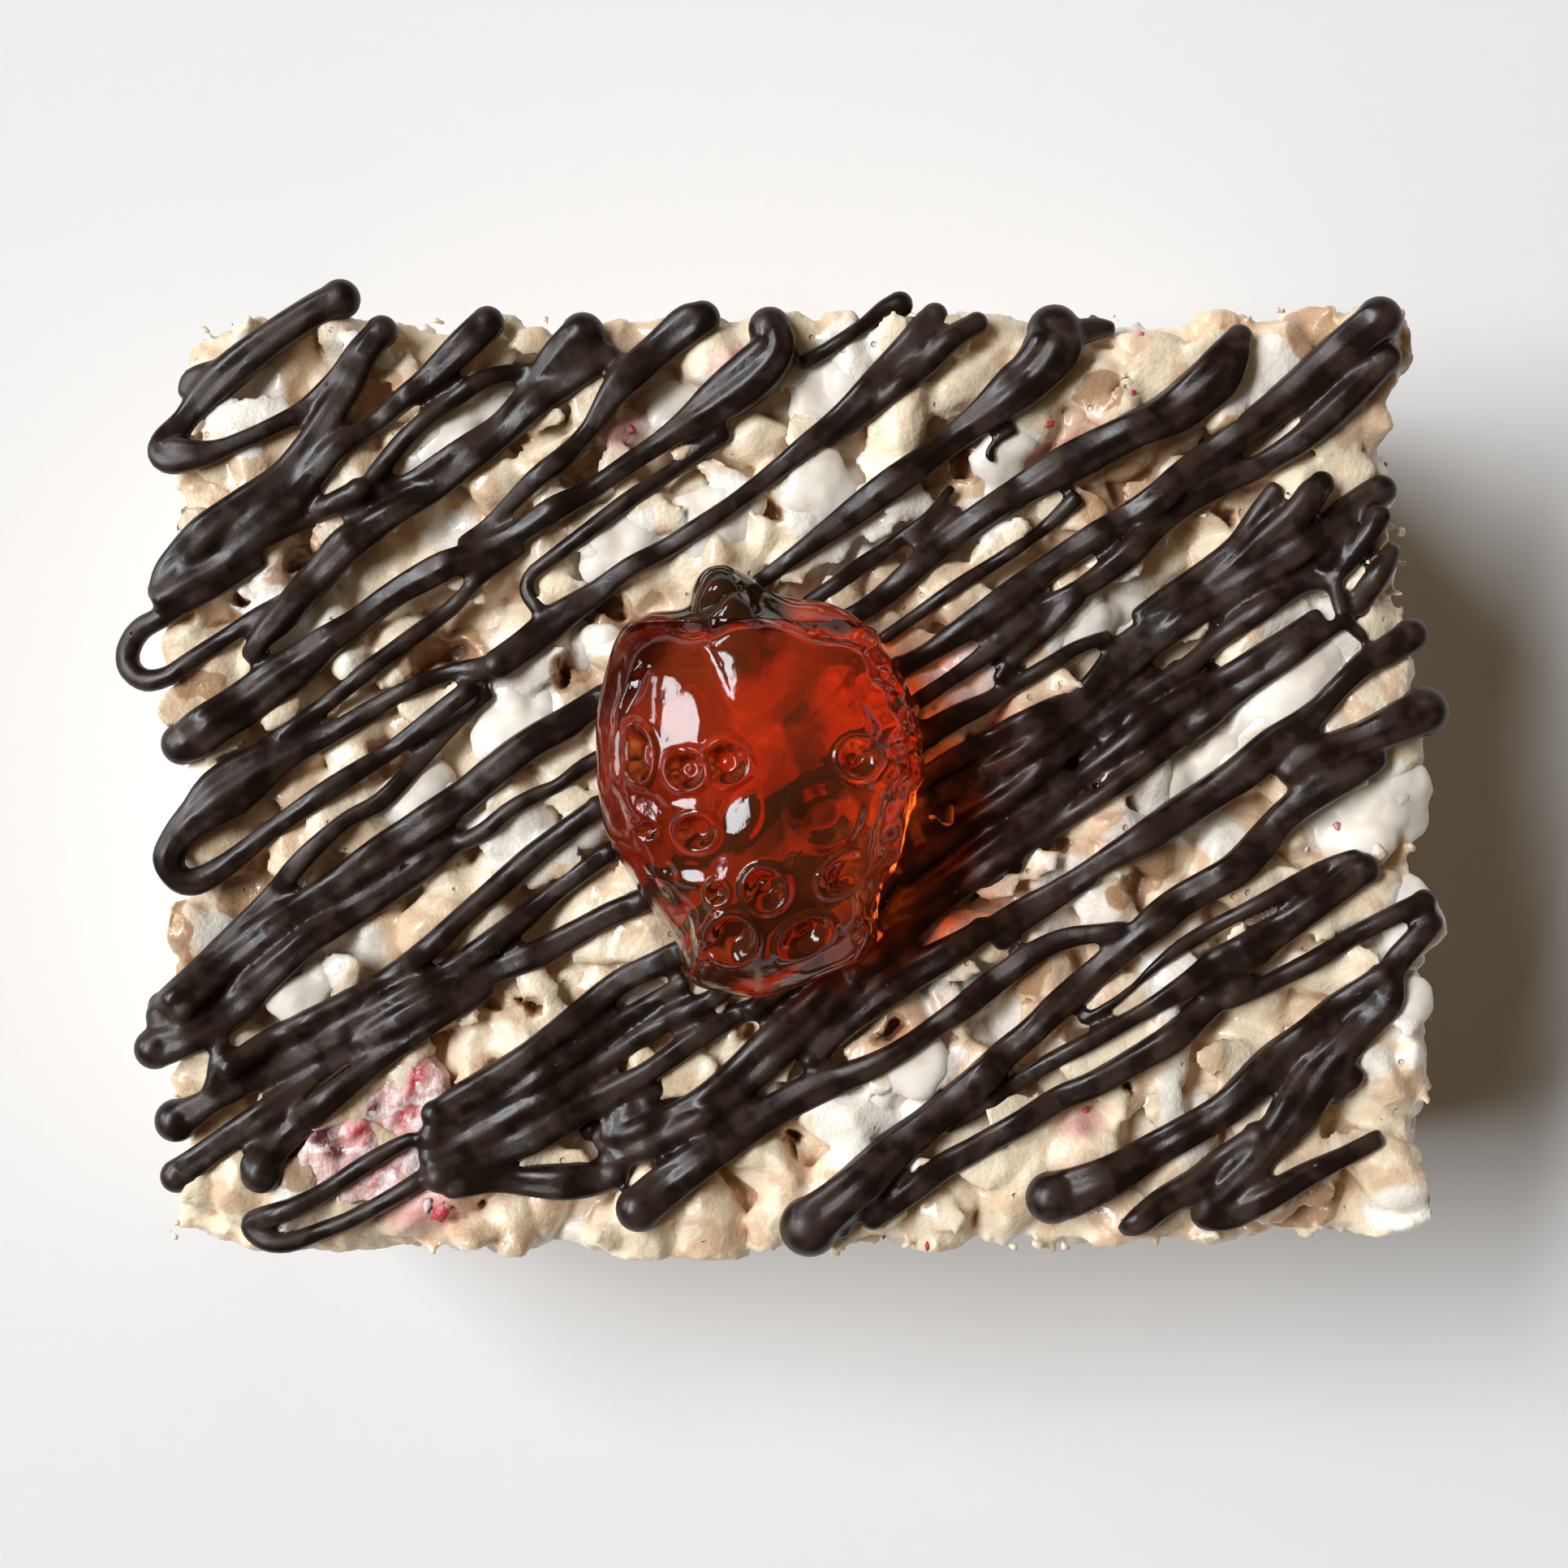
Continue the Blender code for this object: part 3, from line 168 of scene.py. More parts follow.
STRANDS_BACK_RIGHT: tuple[Route, ...] = (
    ((22.0, 22.0, 1.4), (21.4, 20.9, 2.0), (20.3, 19.6, 2.5), (18.5, 18.2, 2.5), (16.5, 17.2, 2.2),
     (14.5, 16.2, 2.1), (12.5, 15.1, 1.9), (10.5, 13.9, 1.7), (8.0, 12.2, 1.6), (6.6, 11.1, 1.5),
     (5.0, 9.7, 1.3), (3.6, 8.6, 1.2), (2.3, 7.9, 1.0)),
    ((5.7, 11.8, 0.8), (6.6, 12.8, 0.7), (8.2, 13.4, 0.8)),
    ((13.9, 14.0, 1.0), (13.0, 13.1, 0.9), (11.8, 12.1, 0.8), (10.2, 11.0, 0.8), (8.0, 9.6, 0.8),
     (6.0, 8.2, 0.75), (4.3, 7.0, 0.8)),
    ((28.6, 22.6, 2.4), (27.0, 21.3, 2.2), (25.0, 19.5, 2.0), (23.0, 17.9, 1.9), (21.0, 16.5, 1.8),
     (19.2, 15.2, 1.6), (17.9, 14.0, 1.6), (16.3, 12.9, 1.5), (14.8, 12.0, 1.6), (13.0, 10.8, 1.5),
     (11.0, 9.4, 1.5), (9.5, 8.3, 1.5), (8.0, 7.3, 1.4), (6.5, 6.3, 1.2), (5.0, 5.5, 1.3)),
    ((29.2, 21.0, 1.6), (27.3, 18.9, 1.7), (25.2, 17.0, 1.6), (23.2, 15.7, 1.4), (21.3, 14.8, 1.3),
     (19.8, 14.0, 1.3), (18.5, 13.0, 1.2), (17.2, 11.9, 1.3), (15.9, 10.8, 1.3), (14.3, 9.6, 1.2),
     (12.9, 8.9, 1.1), (11.8, 8.2, 1.2), (10.5, 7.1, 1.2), (9.0, 5.9, 1.1), (7.5, 4.9, 0.9),
     (6.0, 3.9, 0.9)),
    ((14.0, 9.1, 1.0), (12.9, 7.9, 0.9), (11.9, 6.9, 0.8), (10.8, 6.0, 0.8), (10.0, 5.0, 0.8)),
    ((29.2, 14.5, 1.7), (27.7, 13.6, 1.6), (26.0, 12.3, 1.5), (24.2, 10.9, 1.4), (22.3, 9.7, 1.3),
     (20.3, 8.5, 1.3), (18.5, 7.3, 1.3), (17.0, 6.0, 1.3), (15.5, 4.6, 1.3), (13.8, 3.2, 1.2),
     (12.2, 2.0, 1.0), (10.6, 1.0, 1.0), (8.6, 0.1, 1.1), (6.6, -1.1, 1.2)),
    ((26.0, 14.7, 1.3), (25.4, 14.1, 1.8), (24.5, 13.0, 1.6), (23.2, 11.8, 1.4), (21.7, 10.4, 1.2),
     (20.3, 9.3, 1.2), (18.9, 8.4, 1.2), (17.4, 7.5, 1.2), (16.1, 6.5, 1.2), (15.1, 5.3, 1.1),
     (14.0, 4.2, 1.1), (12.6, 3.6, 1.2), (11.2, 2.9, 1.2), (9.6, 2.0, 1.2), (8.0, 1.2, 1.2),
     (6.3, 0.1, 1.2)),
    ((23.8, 14.5, 1.0), (23.0, 13.3, 1.2), (22.1, 12.0, 1.2), (21.1, 11.1, 1.1), (19.7, 10.1, 1.0),
     (18.3, 9.1, 1.0), (17.0, 8.1, 1.0)),
    ((29.6, 11.6, 1.0), (28.9, 10.4, 1.3), (28.2, 9.3, 1.3), (27.8, 8.4, 1.0)),
    ((28.8, 13.2, 1.2), (28.2, 12.1, 1.3), (27.4, 11.0, 1.3), (26.8, 10.2, 1.1)),
    ((27.6, 12.6, 1.0), (26.8, 11.5, 1.2), (26.0, 10.7, 1.0)),
    ((26.8, 9.9, 1.0), (25.5, 9.8, 1.1), (24.0, 9.1, 1.1), (22.5, 8.1, 1.2), (21.0, 7.0, 1.2),
     (19.5, 5.7, 1.2), (17.8, 4.6, 1.2), (16.0, 3.4, 1.2), (14.0, 2.0, 1.2), (12.0, 0.4, 1.2),
     (11.0, -0.5, 1.1), (9.0, -1.9, 1.2), (7.0, -3.3, 1.2), (5.2, -4.6, 1.2)),
    ((26.7, 10.0, 0.8), (26.9, 8.9, 0.8), (27.3, 7.9, 0.7), (28.1, 7.1, 0.7)),
    ((25.9, 8.2, 1.0), (24.3, 7.0, 1.2), (22.8, 6.1, 1.2), (21.0, 5.0, 1.2), (19.0, 3.9, 1.2),
     (17.0, 2.4, 1.2), (15.0, 0.8, 1.2), (13.2, -0.7, 1.2), (11.5, -2.0, 1.2), (9.5, -3.4, 1.2),
     (7.5, -4.8, 1.2), (5.5, -6.2, 1.2), (4.3, -7.0, 1.2)),
    ((27.2, 7.9, 0.8), (26.3, 7.4, 0.9), (24.8, 6.4, 1.1), (23.2, 5.2, 1.1), (21.6, 4.0, 1.2),
     (20.0, 2.8, 1.3), (18.0, 1.4, 1.2), (16.0, -0.1, 1.2), (14.0, -1.5, 1.1), (12.0, -2.8, 1.1),
     (10.0, -4.1, 1.2), (8.0, -5.5, 1.3), (6.0, -7.1, 1.4), (4.0, -8.8, 1.4), (3.0, -9.5, 1.4)),
    ((15.6, 7.2, 0.7), (14.0, 6.6, 0.8), (12.5, 5.7, 0.9), (11.0, 4.8, 1.0), (9.5, 3.9, 1.2),
     (8.0, 3.2, 1.3), (6.3, 2.2, 1.4)),
)
STRANDS_FRONT_RIGHT: tuple[Route, ...] = (
    ((30.7, 7.3, 1.7), (29.4, 6.5, 1.6), (28.0, 5.7, 1.5), (26.9, 4.7, 1.4), (25.9, 3.6, 1.4),
     (24.8, 2.7, 1.5), (23.5, 1.7, 1.9), (22.0, 0.4, 2.1), (20.5, -0.7, 2.1), (19.0, -1.7, 2.0),
     (17.5, -2.6, 1.8), (16.0, -3.5, 1.5), (14.5, -4.5, 1.3), (13.0, -5.4, 1.2), (11.5, -6.2, 1.1),
     (9.5, -7.3, 1.0)),
    ((14.6, -4.8, 0.9), (13.0, -6.0, 0.8), (11.5, -7.1, 0.8), (10.0, -8.1, 0.9)),
    ((31.2, 3.5, 2.4), (29.8, 2.9, 2.3), (28.2, 2.2, 2.1), (26.5, 1.6, 1.9), (25.2, 1.1, 1.7),
     (24.4, 0.4, 1.5)),
    ((28.7, 1.1, 1.3), (27.3, 0.3, 1.5), (25.7, -0.5, 2.0), (24.3, -1.7, 1.9), (23.2, -3.0, 1.9),
     (21.8, -4.2, 1.8), (20.0, -5.3, 1.8), (18.3, -6.5, 1.8), (17.0, -7.6, 1.6), (15.6, -8.9, 1.6),
     (14.2, -10.2, 1.6), (12.7, -11.4, 1.6), (11.2, -12.8, 1.7), (9.7, -14.1, 1.7), (8.2, -15.5, 1.7),
     (6.6, -16.8, 1.9), (4.9, -18.2, 2.1), (3.2, -19.7, 2.4), (1.6, -21.1, 2.8), (0.6, -22.0, 3.0)),
    ((2.2, -22.3, 1.0), (2.9, -21.2, 1.0), (3.9, -20.1, 1.0)),
    ((27.8, -3.8, 1.1), (26.5, -4.2, 0.9), (25.0, -4.9, 0.9), (23.5, -5.7, 0.9), (22.0, -6.5, 0.9),
     (20.5, -7.4, 0.9), (19.0, -8.3, 0.8), (17.8, -9.2, 0.6), (16.8, -10.1, 0.4), (15.5, -11.1, 0.5),
     (14.1, -11.9, 0.5)),
    ((28.2, -4.3, 1.6), (27.0, -5.2, 1.6), (25.5, -6.2, 1.7), (24.0, -7.3, 1.8), (22.3, -8.3, 1.9),
     (20.5, -9.3, 1.5), (18.7, -10.4, 1.2), (16.8, -11.6, 1.0), (15.0, -12.6, 1.0), (13.0, -13.7, 1.0),
     (11.0, -15.0, 1.0), (9.0, -16.3, 1.1), (7.3, -17.2, 1.0)),
    ((22.3, -9.7, 1.4), (20.5, -11.1, 1.5), (18.8, -12.4, 1.6), (17.0, -13.6, 1.6), (15.0, -14.8, 1.4),
     (13.0, -15.8, 1.3), (11.0, -17.0, 1.4), (9.0, -18.2, 1.4), (7.0, -19.3, 1.4), (5.2, -20.6, 1.4),
     (3.7, -21.6, 1.4)),
    ((31.3, -5.9, 1.3), (29.5, -6.7, 1.2), (27.8, -7.6, 1.1), (26.0, -8.7, 1.1), (24.0, -9.8, 1.1),
     (22.5, -10.5, 1.1), (21.2, -11.0, 1.0)),
    ((31.5, -6.9, 1.3), (30.4, -8.2, 1.4), (29.5, -9.5, 1.5), (29.2, -10.9, 1.6), (28.3, -12.0, 1.7),
     (27.0, -13.2, 1.8), (25.8, -14.6, 2.4), (24.8, -16.0, 2.6), (23.7, -17.4, 2.2), (22.7, -18.7, 2.0),
     (21.6, -20.0, 1.9), (20.5, -21.2, 1.8)),
    ((27.5, -14.5, 1.7), (26.6, -15.3, 1.7)),
    ((29.0, -9.5, 1.2), (27.5, -10.7, 1.3), (26.0, -11.8, 1.4), (24.5, -13.0, 1.6), (23.0, -14.4, 1.9),
     (21.0, -16.3, 1.7), (19.0, -17.5, 1.8), (17.0, -18.7, 2.0), (15.0, -19.7, 2.3), (13.4, -20.5, 2.7),
     (12.6, -20.6, 2.7)),
    ((28.8, -17.7, 1.1), (27.0, -18.6, 1.2), (25.0, -19.5, 1.4), (23.0, -20.6, 1.5), (21.5, -21.4, 1.7),
     (20.3, -21.5, 1.7)),
    ((23.0, -17.4, 1.6), (21.5, -18.7, 1.6), (20.0, -19.8, 1.6), (18.3, -20.8, 1.7), (17.0, -21.7, 1.7),
     (16.3, -22.1, 1.1)),
)
# Strands that show only through the jelly.
STRANDS_UNDER_JELLY: tuple[Route, ...] = (
    ((6.0, 3.9, 1.0), (-1.3, -1.2, 1.4), (-7.7, -6.0, 1.3)),
    ((6.3, 2.2, 1.4), (0.4, -3.8, 1.6), (-5.4, -8.3, 1.3)),
    ((6.3, 0.1, 1.2), (1.7, -5.2, 1.6), (-4.0, -10.7, 1.2)),
    ((6.6, -1.1, 1.2), (3.2, -6.2, 1.5), (-2.2, -11.5, 1.2)),
)
STRANDS = (
    STRANDS_BACK_LEFT + STRANDS_FRONT_LEFT + STRANDS_MIDDLE + STRANDS_BACK_RIGHT + STRANDS_FRONT_RIGHT
    + STRANDS_UNDER_JELLY
)

JELLY_BASE = 28.815
JELLY_HEIGHT = 9.0
# The sweet's middle and rough half width, which tell whether it covers a place.
JELLY_MIDDLE: Place = (-1.7, -0.5)
JELLY_REACH = 8.0
LEAF_LINE = 7.5
# The jelly strawberry: outline of its widest level, walked round from its tip at the back.
JELLY_OUTLINE: tuple[Place, ...] = (
    (-3.6, 9.9), (-4.6, 9.2), (-5.2, 8.4), (-7.0, 8.0), (-8.5, 6.8), (-9.1, 4.4), (-9.5, 2.4),
    (-9.5, 0.0), (-9.1, -1.9), (-8.5, -3.4), (-6.7, -6.1), (-5.7, -7.4), (-5.3, -8.7), (-4.8, -9.7),
    (-2.9, -10.1), (-1.5, -10.2), (0.5, -9.7), (2.3, -8.9), (3.5, -8.0), (3.8, -6.8), (3.9, -5.8),
    (4.8, -3.5), (5.8, -0.7), (6.1, 0.6), (6.0, 2.1), (5.4, 4.2), (4.3, 6.0), (3.9, 6.9), (2.9, 7.6),
    (1.4, 8.3), (0.0, 8.5), (-1.5, 9.0), (-2.4, 9.6),
)


class Slot(Enum):
    """Names of the material slots."""

    CEREAL = "crisped_rice"
    MARSHMALLOW = "marshmallow"
    CHOCOLATE = "chocolate"
    FRUIT = "dried_fruit"
    JELLY = "red_jelly"
    LEAF = "leaf_jelly"


class Side(Enum):
    """The part of the sweet that a cut keeps."""

    BERRY = -1.0
    LEAF = 1.0


def fine(full: float) -> float:
    """The value for a full build."""
    return full


def link_object(name: str, mesh: bpy.types.Mesh) -> bpy.types.Object:
    """Put a mesh in the scene as an object at the origin.

    Args:
        name: name of the object.
        mesh: its mesh.

    Returns:
        The new object.
    """
    made = bpy.data.objects.new(name, mesh)
    bpy.context.scene.collection.objects.link(made)
    return made


def object_from(name: str, shape: bmesh.types.BMesh) -> bpy.types.Object:
    """Turn a bmesh into an object and free it.

    Args:
        name: name of the object.
        shape: the bmesh.

    Returns:
        The new object.
    """
    mesh = bpy.data.meshes.new(name)
    shape.to_mesh(mesh)
    shape.free()
    return link_object(name, mesh)


def settle(piece: bpy.types.Object) -> bpy.types.Object:
    """Apply a piece's modifiers to its mesh.

    Args:
        piece: object with modifiers.

    Returns:
        The same object, with the evaluated mesh and no modifiers.
    """
    graph = bpy.context.evaluated_depsgraph_get()
    mesh = bpy.data.meshes.new_from_object(piece.evaluated_get(graph))
    old = piece.data
    piece.modifiers.clear()
    piece.data = mesh
    bpy.data.meshes.remove(old)
    return piece


def melt(piece: bpy.types.Object, voxel: float, rounds: int) -> bpy.types.Object:
    """Join a piece's overlapping shells into one skin and soften it.

    Args:
        piece: object of closed shells.
        voxel: size of the skin's grid in millimetres.
        rounds: how many times the skin is smoothed.

    Returns:
        The same object with its new mesh.
    """
    remesh = piece.modifiers.new("skin", "REMESH")
    remesh.mode = "VOXEL"
    remesh.voxel_size = voxel * MM
    soften = piece.modifiers.new("soften", "SMOOTH")
    soften.iterations = rounds
    return settle(piece)


def triangles_in(piece: bpy.types.Object) -> int:
    """How many triangles the faces of a piece make."""
    return sum(len(face.vertices) - 2 for face in piece.data.polygons)


def thin_out(piece: bpy.types.Object, most: int) -> None:
    """Bring a piece under a number of triangles where its surface is flattest."""
    count = triangles_in(piece)
    if count > most:
        fewer = piece.modifiers.new("fewer", "DECIMATE")
        fewer.ratio = most / count
        settle(piece)


def read_places(mesh: bpy.types.Mesh) -> np.ndarray:
    """The mesh's vertices in millimetres, one row each."""
    places = np.empty(len(mesh.vertices) * 3, np.float32)
    mesh.vertices.foreach_get("co", places)
    return places.reshape(-1, 3).astype(float) / MM


def write_places(mesh: bpy.types.Mesh, places: np.ndarray) -> None:
    """Set the mesh's vertices from rows in millimetres."""
    mesh.vertices.foreach_set("co", (places * MM).astype(np.float32).ravel())
    mesh.update()


def read_normals(mesh: bpy.types.Mesh) -> np.ndarray:
    """The mesh's vertex normals, one row each."""
    normals = np.empty(len(mesh.vertices) * 3, np.float32)
    mesh.vertex_normals.foreach_get("vector", normals)
    return normals.reshape(-1, 3).astype(float)


def write_mask(mesh: bpy.types.Mesh, name: str, values: np.ndarray) -> None:
    """Store one number for each vertex for the finish to read."""
    layer = mesh.attributes.new(name, "FLOAT", "POINT")
    layer.data.foreach_set("value", values.astype(np.float32))


def relaxed(mesh: bpy.types.Mesh, places: np.ndarray, rounds: int) -> np.ndarray:
    """Places moved to the mean of their neighbours, again and again.

    Args:
        mesh: gives the edges.
        places: one row for each vertex.
        rounds: how many times.

    Returns:
        The relaxed places.
    """
    edges = np.empty(len(mesh.edges) * 2, np.int32)
    mesh.edges.foreach_get("vertices", edges)
    ends = edges.reshape(-1, 2)
    total = len(places)
    links = np.maximum(np.bincount(edges, minlength=total), 1)[:, None]
    for _ in range(rounds):
        sums = np.stack([
            np.bincount(ends[:, 0], weights=places[ends[:, 1], axis], minlength=total)
            + np.bincount(ends[:, 1], weights=places[ends[:, 0], axis], minlength=total)
            for axis in range(3)
        ], axis=1)
        places = sums / links
    return places


def waves(places: np.ndarray, size: float, shift: float) -> np.ndarray:
    """Smooth noise from -1 to 1 at each place.

    Args:
        places: one row for each place in millimetres.
        size: width of one swell in millimetres.
        shift: picks another pattern.

    Returns:
        One value for each place.
    """
    offset = Vector((shift, -shift, 0.5 * shift))
    return np.array([noise.noise(Vector(place) / size + offset) for place in places])


def curve_through(points: np.ndarray, share: float) -> np.ndarray:
    """A place on the smooth open curve through some points.

    Args:
        points: one row for each point.
        share: 0 at the first point, and 1 more at each next one.

    Returns:
        The place, with as many numbers as a row.
    """
    last = len(points) - 1
    index = min(int(share), last - 1)
    t = share - index
    before, start, end, after = (points[min(max(index + k, 0), last)] for k in (-1, 0, 1, 2))
    return 0.5 * (
        2.0 * start
        + (end - before) * t
        + (2.0 * before - 5.0 * start + 4.0 * end - after) * t * t
        + (3.0 * start - before - 3.0 * end + after) * t ** 3
    )


def ramp(values: np.ndarray, start: float, width: float) -> np.ndarray:
    """Rise from 0 at a start to 1 over a width, and stay at 1."""
    return np.clip((values - start) / width, 0.0, 1.0)


def oval_distance(places: np.ndarray, oval: Sequence[float]) -> np.ndarray:
    """How far each place lies from an oval's middle, 1 on its outline.

    Args:
        places: one row for each place in millimetres.
        oval: middle x and y, half length, half width and turn in degrees.

    Returns:
        One value for each place.
    """
    x, y, length, width, turn = oval
    angle = math.radians(turn)
    east = places[:, 0] - x
    north = places[:, 1] - y
    along = (east * math.cos(angle) + north * math.sin(angle)) / length
    across = (north * math.cos(angle) - east * math.sin(angle)) / width
    return np.hypot(along, across)


def in_spot(places: np.ndarray, spot: Sequence[float], edge: float) -> np.ndarray:
    """How far each place lies inside an oval spot, whose edge is soft over a share of it."""
    return np.clip((1.0 + edge - oval_distance(places, spot)) / (2.0 * edge), 0.0, 1.0)


def in_spots(places: np.ndarray, spots: Ovals, edge: float) -> np.ndarray:
    """The strongest of several spots at each place."""
    return np.max([in_spot(places, spot, edge) for spot in spots], axis=0)


def search_tree(places: list[Vector]) -> KDTree:
    """A tree that finds the nearest of some places."""
    tree = KDTree(len(places))
    for index, place in enumerate(places):
        tree.insert(place, index)
    tree.balance()
    return tree


class Heap:
    """Closed shells, gathered in small batches because operators slow down in a large bmesh."""

    batch = 40

    def __init__(self) -> None:
        """Start an empty heap."""
        self.whole = bmesh.new()
        self.shape = bmesh.new()
        self.held = 0

    def flush(self) -> None:
        """Move the current batch to the whole heap."""
        mesh = bpy.data.meshes.new("batch")
        self.shape.to_mesh(mesh)
        self.whole.from_mesh(mesh)
        bpy.data.meshes.remove(mesh)
        self.shape.clear()
        self.held = 0

    def lump(
        self, centre: Vector, axes: Matrix, crumple: float, draw: random.Random, rings: int = 2
    ) -> None:
        """Add one uneven rounded lump, such as a puffed grain.

        Args:
            centre: middle in millimetres.
            axes: its three half axes as columns in millimetres.
            crumple: how far its surface leaves an ellipsoid, as a share.
            draw: random numbers.
            rings: how finely the ball is divided.
        """
        made = bmesh.ops.create_icosphere(self.shape, subdivisions=rings, radius=1.0)
        offset = Vector((draw.uniform(-50.0, 50.0), draw.uniform(-50.0, 50.0), draw.uniform(-50.0, 50.0)))
        for vert in made["verts"]:
            swell = 1.0 + crumple * noise.noise(vert.co * 1.7 + offset)
            vert.co = (axes @ (vert.co * swell) + centre) * MM
        self.held += 1
        if self.held >= self.batch:
            self.flush()

    def take(self, shape: bmesh.types.BMesh) -> None:
        """Add a bmesh to the heap and free it."""
        mesh = bpy.data.meshes.new("batch")
        shape.to_mesh(mesh)
        shape.free()
        self.whole.from_mesh(mesh)
        bpy.data.meshes.remove(mesh)

    def piece(self, name: str) -> bpy.types.Object:
        """Turn the whole heap into one object."""
        self.flush()
        self.shape.free()
        return object_from(name, self.whole)


def ride_as(piece: bpy.types.Object, nodes: tuple[str, ...], finish: bpy.types.Material) -> None:
    """Give a finished piece its body and finish, and hide the CAD nodes that it replaces.

    Args:
        piece: the finished piece.
        nodes: CAD nodes that it stands for.
        finish: material to show.
    """
    piece.data.materials.clear()
    piece.data.materials.append(finish)
    piece.data.shade_smooth()
    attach(piece, BODY)
    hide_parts(*nodes)
    LOG.info("%s: %d triangles", piece.name, triangles_in(piece))


Socket = bpy.types.NodeSocket


class Nodes:
    """A node tree with short calls that add and link nodes."""

    def __init__(self, tree: bpy.types.NodeTree) -> None:
        """Wrap a node tree."""
        self.tree = tree

    def add(self, kind: str, settings: dict | None = None, **inputs: object) -> bpy.types.Node:
        """Add a node.

        Args:
            kind: node type.
            settings: properties of the node.
            **inputs: socket names, with _ for a space, and a value or the socket to link.

        Returns:
            The new node.
        """
        node = self.tree.nodes.new(kind)
        for key, value in (settings or {}).items():
            setattr(node, key, value)
        for key, value in inputs.items():
            self.feed(node.inputs[key.replace("_", " ")], value)
        return node

    def feed(self, socket: Socket, value: object) -> None:
        """Link a socket to another, or set its value."""
        if isinstance(value, Socket):
            self.tree.links.new(value, socket)
        else:
            socket.default_value = value

    def sum(self, operation: str, first: object, second: object) -> Socket:
        """Work out one value from two.

        Args:
            operation: name of the Math node's operation.
            first: first value or socket.
            second: second value or socket.

        Returns:
            The result's socket.
        """
        node = self.add("ShaderNodeMath", {"operation": operation})
        self.feed(node.inputs[0], first)
        self.feed(node.inputs[1], second)
        return node.outputs[0]

    def blend(self, share: object, first: object, second: object) -> Socket:
        """Mix two colours by a share."""
        node = self.add("ShaderNodeMix", {"data_type": "RGBA"})
        self.feed(node.inputs[0], share)
        self.feed(node.inputs[6], first if isinstance(first, Socket) else (*first, 1.0))
        self.feed(node.inputs[7], second if isinstance(second, Socket) else (*second, 1.0))
        return node.outputs[2]

    def fade(self, value: Socket, low: float, high: float, start: float = 0.0, end: float = 1.0) -> Socket:
        """Map a value's range to another one, clamped.

        Args:
            value: socket to map.
            low: value that gives start.
            high: value that gives end.
            start: result at low.
            end: result at high.

        Returns:
            The result's socket.
        """
        node = self.add("ShaderNodeMapRange", {"interpolation_type": "SMOOTHSTEP"}, Value=value)
        for index, number in enumerate((low, high, start, end), start=1):
            node.inputs[index].default_value = number
        return node.outputs[0]

    def mask(self, name: str) -> Socket:
        """Read a mask that the mesh carries."""
        return self.add("ShaderNodeAttribute", {"attribute_name": name}).outputs["Fac"]

    def place(self) -> Socket:
        """The place on the piece in millimetres."""
        at = self.add("ShaderNodeTexCoord").outputs["Object"]
        return self.add("ShaderNodeMapping", Vector=at, Scale=(1.0 / MM,) * 3).outputs[0]

    def cloud(self, at: Socket, scale: float, detail: float = 3.0) -> Socket:
        """Noise of so many swells in a millimetre."""
        return self.add("ShaderNodeTexNoise", Vector=at, Scale=scale, Detail=detail).outputs["Fac"]


def relief_group() -> bpy.types.NodeTree:
    """Build the shared group that lays coarse and fine relief over a finish.

    Returns:
        A group that takes a place and two scales, and gives a height and a mottle from 0 to 1.
    """
    group = bpy.data.node_groups.new("food_relief", "ShaderNodeTree")
    face = group.interface
    face.new_socket("Place", in_out="INPUT", socket_type="NodeSocketVector")
    face.new_socket("Coarse", in_out="INPUT", socket_type="NodeSocketFloat")
    face.new_socket("Fine", in_out="INPUT", socket_type="NodeSocketFloat")
    face.new_socket("Height", in_out="OUTPUT", socket_type="NodeSocketFloat")
    face.new_socket("Mottle", in_out="OUTPUT", socket_type="NodeSocketFloat")
    nodes = Nodes(group)
    given = nodes.add("NodeGroupInput").outputs
    result = nodes.add("NodeGroupOutput")
    broad = nodes.add("ShaderNodeTexNoise", Vector=given["Place"], Scale=given["Coarse"], Detail=2.0)
    close = nodes.add("ShaderNodeTexNoise", Vector=given["Place"], Scale=given["Fine"], Detail=4.0)
    height = nodes.sum("ADD", broad.outputs["Fac"], nodes.sum("MULTIPLY", close.outputs["Fac"], 0.4))
    nodes.feed(result.inputs["Height"], height)
    nodes.feed(result.inputs["Mottle"], nodes.fade(broad.outputs["Fac"], 0.32, 0.68))
    return group


